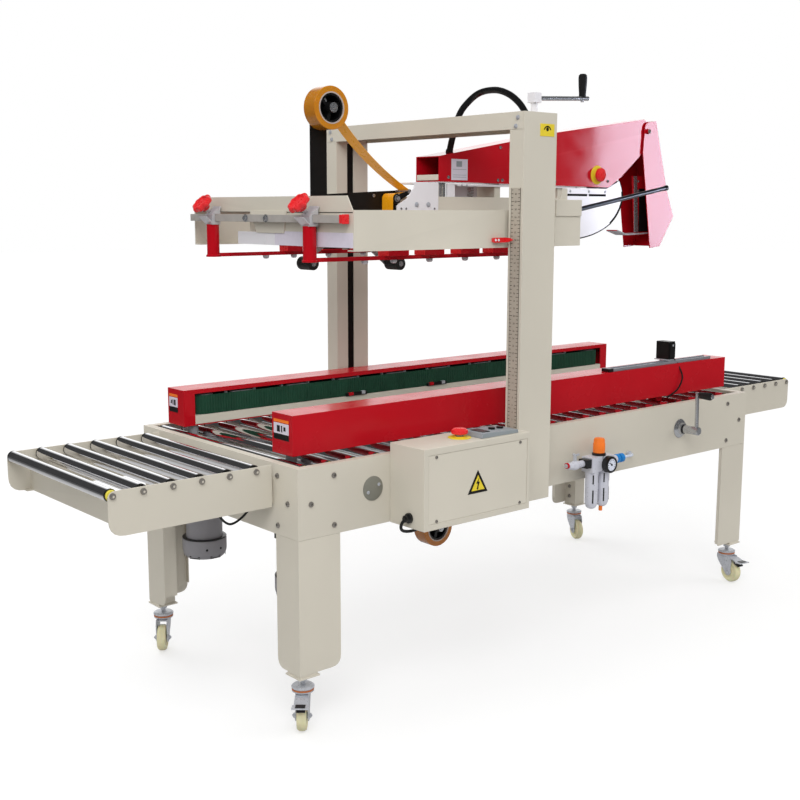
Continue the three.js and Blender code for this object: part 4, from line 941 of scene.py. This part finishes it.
def tape_core(name, body, centre, tape):
    wound = [(42, -24.4), (55.6, -24.4), (57, -23.4), (57, 23.4), (55.6, 24.4), (42, 24.4), (42, -24.4)]
    core = sleeve(38.6, 42, -25, 25)
    rim = sleeve(33, 38.5, -22, 22)
    boss = [(8.7, -24), (14, -24), (15, -20), (15, 22), (8.7, 22), (8.7, -24)]
    spokes = []
    for i in range(3):
        spoke = block((13, 35), (-17, 17), (-5, 5))
        spokes.append(moved(spoke, about(*centre, 120 * i + 100, "Y")))
    back = sleeve(8.7, 36, 14, 17)
    piece(name, body, [
        (tape, [lathe(wound, centre, FAR, 72)]),
        (CARD, [lathe(core, centre, FAR, 56)]),
        (PLASTIC, [lathe(rim, centre, FAR, 48), lathe(boss, centre, FAR, 28),
                   lathe(back, centre, FAR, 40)] + spokes),
        (STEEL, [moved(block((20, 30), (-19, -16), (-2, 2)), about(*centre, -130, "Y"))]),
    ], replaces=[body])


tape_core("upper_tape", "tape_roll", TAPE_SPOT, AMBER)
tape_core("lower_tape", "lower_tape_roll", LOWER_SPOT, AMBER_LOW)
guide = middle("tape_guide_roller")
tip = Vector((-281, 0, 1308))
peel = math.radians(-40)
start = Vector((TAPE_SPOT.x + 57.2 * math.cos(peel), TAPE_SPOT.z + 57.2 * math.sin(peel)))
arrive = Vector((tip.x + 3, tip.z + 5.6))
sag = (start + arrive) / 2 + Vector((-16, -19))
web = []
for i in range(15):
    t = i / 14
    web.append(tuple(start * (1 - t) ** 2 + sag * 2 * t * (1 - t) + arrive * t * t))
web += disc((tip.x, tip.z), 6, 5, 20, -110)
web += [(guide.x + 3, guide.z + 14.4)] + disc((guide.x, guide.z), 14.5, 6, 100, 80)
web += [(guide.x - 14.5, guide.z - 20), (guide.x - 14.5, 1196)]
piece("tape_web", "head", [(WEB, [ribbon(web, (-23.6, 23.6))])], angle=50)
piece("tape_guide_roller_tube", "tape_guide_roller", [
    (PLASTIC, [lathe([(5.7, -24), (13.6, -24), (14, -23), (14, 23), (13.6, 24), (5.7, 24), (5.7, -24)], guide,
                     FAR, 40)]),
    (STEEL, [lathe([(5.7, -26), (9.5, -26), (10, -24), (5.7, -23.9), (5.7, -26)], guide, FAR, 24)]),
], replaces=["tape_guide_roller"])
washer = lathe([(0, 0), (13, 0), (13, 1.6), (0, 1.6)], (TAPE_SPOT.x, -32.6, TAPE_SPOT.z), NEAR, 28)
tip_rod = [rod((tip.x, -28, tip.z), (tip.x, 27, tip.z), 5, 20),
           rod((tip.x, -31, tip.z), (tip.x, -28, tip.z), 6.4, 20)]
link = [(tip.x + 7, tip.z - 5), (tip.x + 7, tip.z + 5), (guide.x + 6, guide.z + 13),
        (guide.x - 5, guide.z + 5), (guide.x + 2, guide.z - 8)]
piece("tape_head_fittings", "head", [
    (STEEL, axle_end(TAPE_SPOT) + [washer] + tip_rod + [dome_bolt((-365, 27, 1296), NEAR, 5, 3),
                                  rod((guide.x, -31.5, guide.z), (guide.x, -28, guide.z), 7, 6)]),
    (BLACK, [prism(link, "xz", (-29.4, -27))]),
    (ZINC, [dome_bolt((x, 27, z), NEAR, 4.5, 3) for x, z in ((-570, 1525), (-556, 1240))]),
], bevel=0.5)


def swing_roller(name, x, z):
    """Arm on its pivot with the rubber roller that wipes the tape down."""
    pivot = Vector(SWINGS[name])
    end = pivot + Vector((x, 0, z))
    turn = math.degrees(math.atan2(-z, x))
    length = math.hypot(x, z)
    place_arm = about(*pivot, turn, "Y")
    outline = disc((0, 0), 13, 12, 90, 180) + disc((length, 0), 9, 10, -90, 180)
    arm = moved(prism(outline, "xz", (19, 24)), place_arm)
    tread = [(8, -39.6), (16.6, -39.6), (17.8, -38.4), (17.8, 14.4), (16.6, 15.6), (8, 15.6), (8, -39.6)]
    piece(f"{name}_roller", name, [
        (RUBBER, [lathe(tread, end, FAR, 56)]),
        (STEEL, [arm, lathe([(0, -41), (7.6, -41), (7.6, 18.5), (0, 18.5)], end, FAR, 24),
                 lathe(sleeve(8, 14, -2, 24.6), pivot, FAR, 28)]
         + hex_bolt(end + Vector((0, -41, 0)), NEAR, 5, 3)),
    ], bevel=0.4, replaces=[name])


SWINGS = {"front_applicator": (-520, 0, 1186), "rear_applicator": (-420, 0, 1186)}
swing_roller("front_applicator", -105, -71)
swing_roller("rear_applicator", 100, -80)

# ---------- kicker leg ----------
# The dark sheet inside the kick leg is painted shade.
foot_screws = [dome_bolt((x, -12, z), NEAR, 4.5, 2.8) for x, z in ((767, 1354), (768, 1322))]
piece("kick_leg_fittings", "kick_leg", [
    (STEEL, foot_screws + [prism([(740, 1371), (756, 1371), (772, 1182), (752, 1182)], "xz", (-16, -12.2))]),
    (BOLT, [rod((751, -61, 1517), (751, -66, 1517), 8, 6)]),
    (PAINTED_SHADE, [prism([(772, 1330), (842, 1330), (860, 1240), (838, 1186), (776, 1184)], "xz", (-15, -12.2))]),
    (ZINC, [prism([(650, 1187), (700, 1173), (836, 1177), (836, 1181.5), (700, 1177.5), (651, 1191.5)], "xz",
                  (-24, 24))]),
], bevel=0.6)
# The dark blocks on the plow's face and the dark tubes along its rim are painted shade.
rim = [(624, 1352), (639, 1318), (641, 1296), (632, 1268), (612, 1239), (582, 1213), (538, 1192), (484, 1176),
       (420, 1166), (330, 1158)]
piece("flap_plow_rim", "head", [
    (PAINTED_SHADE, [block((366, 463), (-47.4, -46.4), (1301, 1308)), block((470, 556), (-47.4, -46.4), (1301, 1308))]
     + [tube([(a, s * 46.6, b) for a, b in rim], 2.4, 8, 3) for s in (-1, 1)]
     + [tube([(a - 2, s * 46.2, b) for a, b in rim[1:6]], 4.4, 8, 3) for s in (-1, 1)]),
    (ZINC, [dome_bolt((x, -48, 1316), NEAR, 4, 2.6) for x in (380, 470, 550)]),
])
# The dark sheet inside the arm's open end is painted shade.
mouth = [block((-186.6, -60), (-46, 46), (1341, 1357)), block((-90, -60), (-46, 46), (1341, 1402))]
piece("arm_mouth", "head", [(BEIGE, mouth), (PAINTED_SHADE, [block((-92, -89), (-45, 45), (1358, 1404))])], bevel=0.6)

# ---------- tape unit in the bed ----------
low_web = [(LOWER_SPOT.x + 57.2, LOWER_SPOT.z + 4), (LOWER_SPOT.x + 78, 400), (-72, 520), (-52, 600),
           (-38, 624)]
piece("lower_tape_web", "frame", [(WEB, [ribbon(low_web, (-23.6, 23.6))])], angle=50)
piece("lower_tape_fittings", "frame", [(STEEL, axle_end(LOWER_SPOT))])

# ---------- cable over the beam ----------
conduit = [(-102, 0, 1418), (-89, 0, 1464), (-58, 4, 1533), (-22, 2, 1573), (0, -24, 1598), (2, -85, 1601),
           (0, -139, 1586), (0, -180, 1560), (-8, -214, 1530), (-40, -262, 1496), (-108, -300, 1488)]
bend = ("head", "frame", place(conduit[0]), place(conduit[-1]))
piece("beam_conduit", bend, [(PLASTIC, [tube(conduit, 9.5, 16)])])
piece("conduit_glands", "head", [(PLASTIC, [rod((-102, 0, 1416), (-100, 0, 1430), 12, 6)])])
piece("beam_gland", "frame", [(PLASTIC, [rod((-106, -300, 1488), (-92, -295, 1489), 12, 6)])])

# ---------- studio ----------
def softbox(name, at, aim, size, power, gloss=False, tone=(1, 1, 1), only=()):
    """A lamp for the diffuse light only, or for reflections only; it can be kept to a few objects."""
    data = bpy.data.lights.new(name, "AREA")
    data.shape = "RECTANGLE"
    data.size, data.size_y = size
    data.energy = power
    data.color = tone
    made = bpy.data.objects.new(name, data)
    made.visible_diffuse = not gloss
    made.visible_glossy = gloss
    made.location = place(at)
    made.rotation_euler = (place(aim) - place(at)).to_track_quat("-Z", "Y").to_euler()
    bpy.context.scene.collection.objects.link(made)
    if only:
        made.light_linking.receiver_collection = bpy.data.collections.new(f"lit_by_{name}")
        for lit in only:
            made.light_linking.receiver_collection.objects.link(bpy.data.objects[lit])


def studio_floor(reach, near, far):
    """White sweep: it takes soft shadows round the machine and turns plain white with distance."""
    data = bpy.data.meshes.new("studio_floor")
    spots = [(-reach, -reach), (reach, -reach), (reach, reach), (-reach, reach)]
    data.from_pydata([place((x, y, -0.5)) for x, y in spots], [], [(0, 1, 2, 3)])
    made = bpy.data.objects.new("studio_floor", data)
    material = bpy.data.materials.new("studio_floor")
    material.use_nodes = True
    tree = material.node_tree
    shader = tree.nodes["Principled BSDF"]
    shader.inputs["Roughness"].default_value = 0.8
    where = node(tree, "ShaderNodeTexCoord").outputs["Object"]
    away = node(tree, "ShaderNodeVectorMath", {0: where}, operation="LENGTH").outputs["Value"]
    base = ramp(tree, away, near, far, 0.45, 0.0)
    grey = node(tree, "ShaderNodeCombineColor", {0: base, 1: base, 2: base}).outputs["Color"]
    tree.links.new(grey, shader.inputs["Base Color"])
    ray = node(tree, "ShaderNodeLightPath").outputs["Is Camera Ray"]
    glow = ramp(tree, away, near, far, 0.55, 1.0)
    shine = node(tree, "ShaderNodeMix", {0: ray, 2: 0.08, 3: glow}).outputs[0]
    tree.links.new(shine, shader.inputs["Emission Strength"])
    shader.inputs["Emission Color"].default_value = (1, 1, 1, 1)
    data.materials.append(material)
    bpy.context.scene.collection.objects.link(made)


def studio_world(yaw, seen, lighting, edges, mirrored):
    """White to the camera, even light on the machine, and in reflections a pale backdrop and a dark room."""
    world = bpy.data.worlds.new("studio")
    world.use_nodes = True
    tree = world.node_tree
    path = node(tree, "ShaderNodeLightPath").outputs
    toward = node(tree, "ShaderNodeTexCoord").outputs["Generated"]
    facing = node(tree, "ShaderNodeVectorMath", {0: toward, 1: (math.sin(yaw), math.cos(yaw), 0)},
                  operation="DOT_PRODUCT").outputs["Value"]
    room = ramp(tree, facing, *edges, *mirrored)
    glossy = node(tree, "ShaderNodeMix", {0: path["Is Glossy Ray"], 2: lighting, 3: room}).outputs[0]
    strength = node(tree, "ShaderNodeMix", {0: path["Is Camera Ray"], 2: glossy, 3: seen}).outputs[0]
    tree.links.new(strength, tree.nodes["Background"].inputs["Strength"])
    tree.nodes["Background"].inputs["Color"].default_value = (1, 1, 1, 1)
    bpy.context.scene.world = world


studio_floor(30000, 1.6, 4.5)
studio_world(0.70655, 1.0, 0.8, (0.72, 0.9), (0.05, 1.25))
softbox("key", (-2600, -2600, 3600), (0, 0, 900), (2.6, 2.6), 95)
softbox("side", (3600, -2600, 2200), (200, 0, 900), (2.4, 2.8), 30)
softbox("rear", (-400, 3600, 3200), (0, 0, 900), (3.2, 1.6), 62)
softbox("sheen", (3200, -1680, 1440), (640, 0, 1430), (1.0, 0.9), 48, gloss=True, tone=(0.78, 0.82, 1),
        only=("kicker_arm", "kick_leg", "flap_plow", "flap_rods", "lift_crank_handle"))
bpy.context.scene.view_settings.view_transform = "Standard"

CAMERA = {"at": (-2471.5, -2557.0, 1256.8), "yaw": 0.70655, "pitch": 0.162, "roll": 0.0019, "lens": 52.38}


def camera(at, yaw, pitch, roll, lens):
    """Yaw runs from +Y towards +X and pitch is downwards, in radians."""
    forward = Vector((math.sin(yaw) * math.cos(pitch), math.cos(yaw) * math.cos(pitch), -math.sin(pitch)))
    level = Vector((math.cos(yaw), -math.sin(yaw), 0))
    rise = level.cross(forward)
    right = level * math.cos(roll) + rise * math.sin(roll)
    up = rise * math.cos(roll) - level * math.sin(roll)
    data = bpy.data.cameras.new("camera")
    data.lens = lens
    data.sensor_width = 36
    data.clip_end = 100
    made = bpy.data.objects.new("camera", data)
    made.matrix_world = Matrix.Translation(place(at)) @ Matrix((right, up, -forward)).transposed().to_4x4()
    bpy.context.scene.collection.objects.link(made)
    bpy.context.scene.camera = made


camera(**CAMERA)
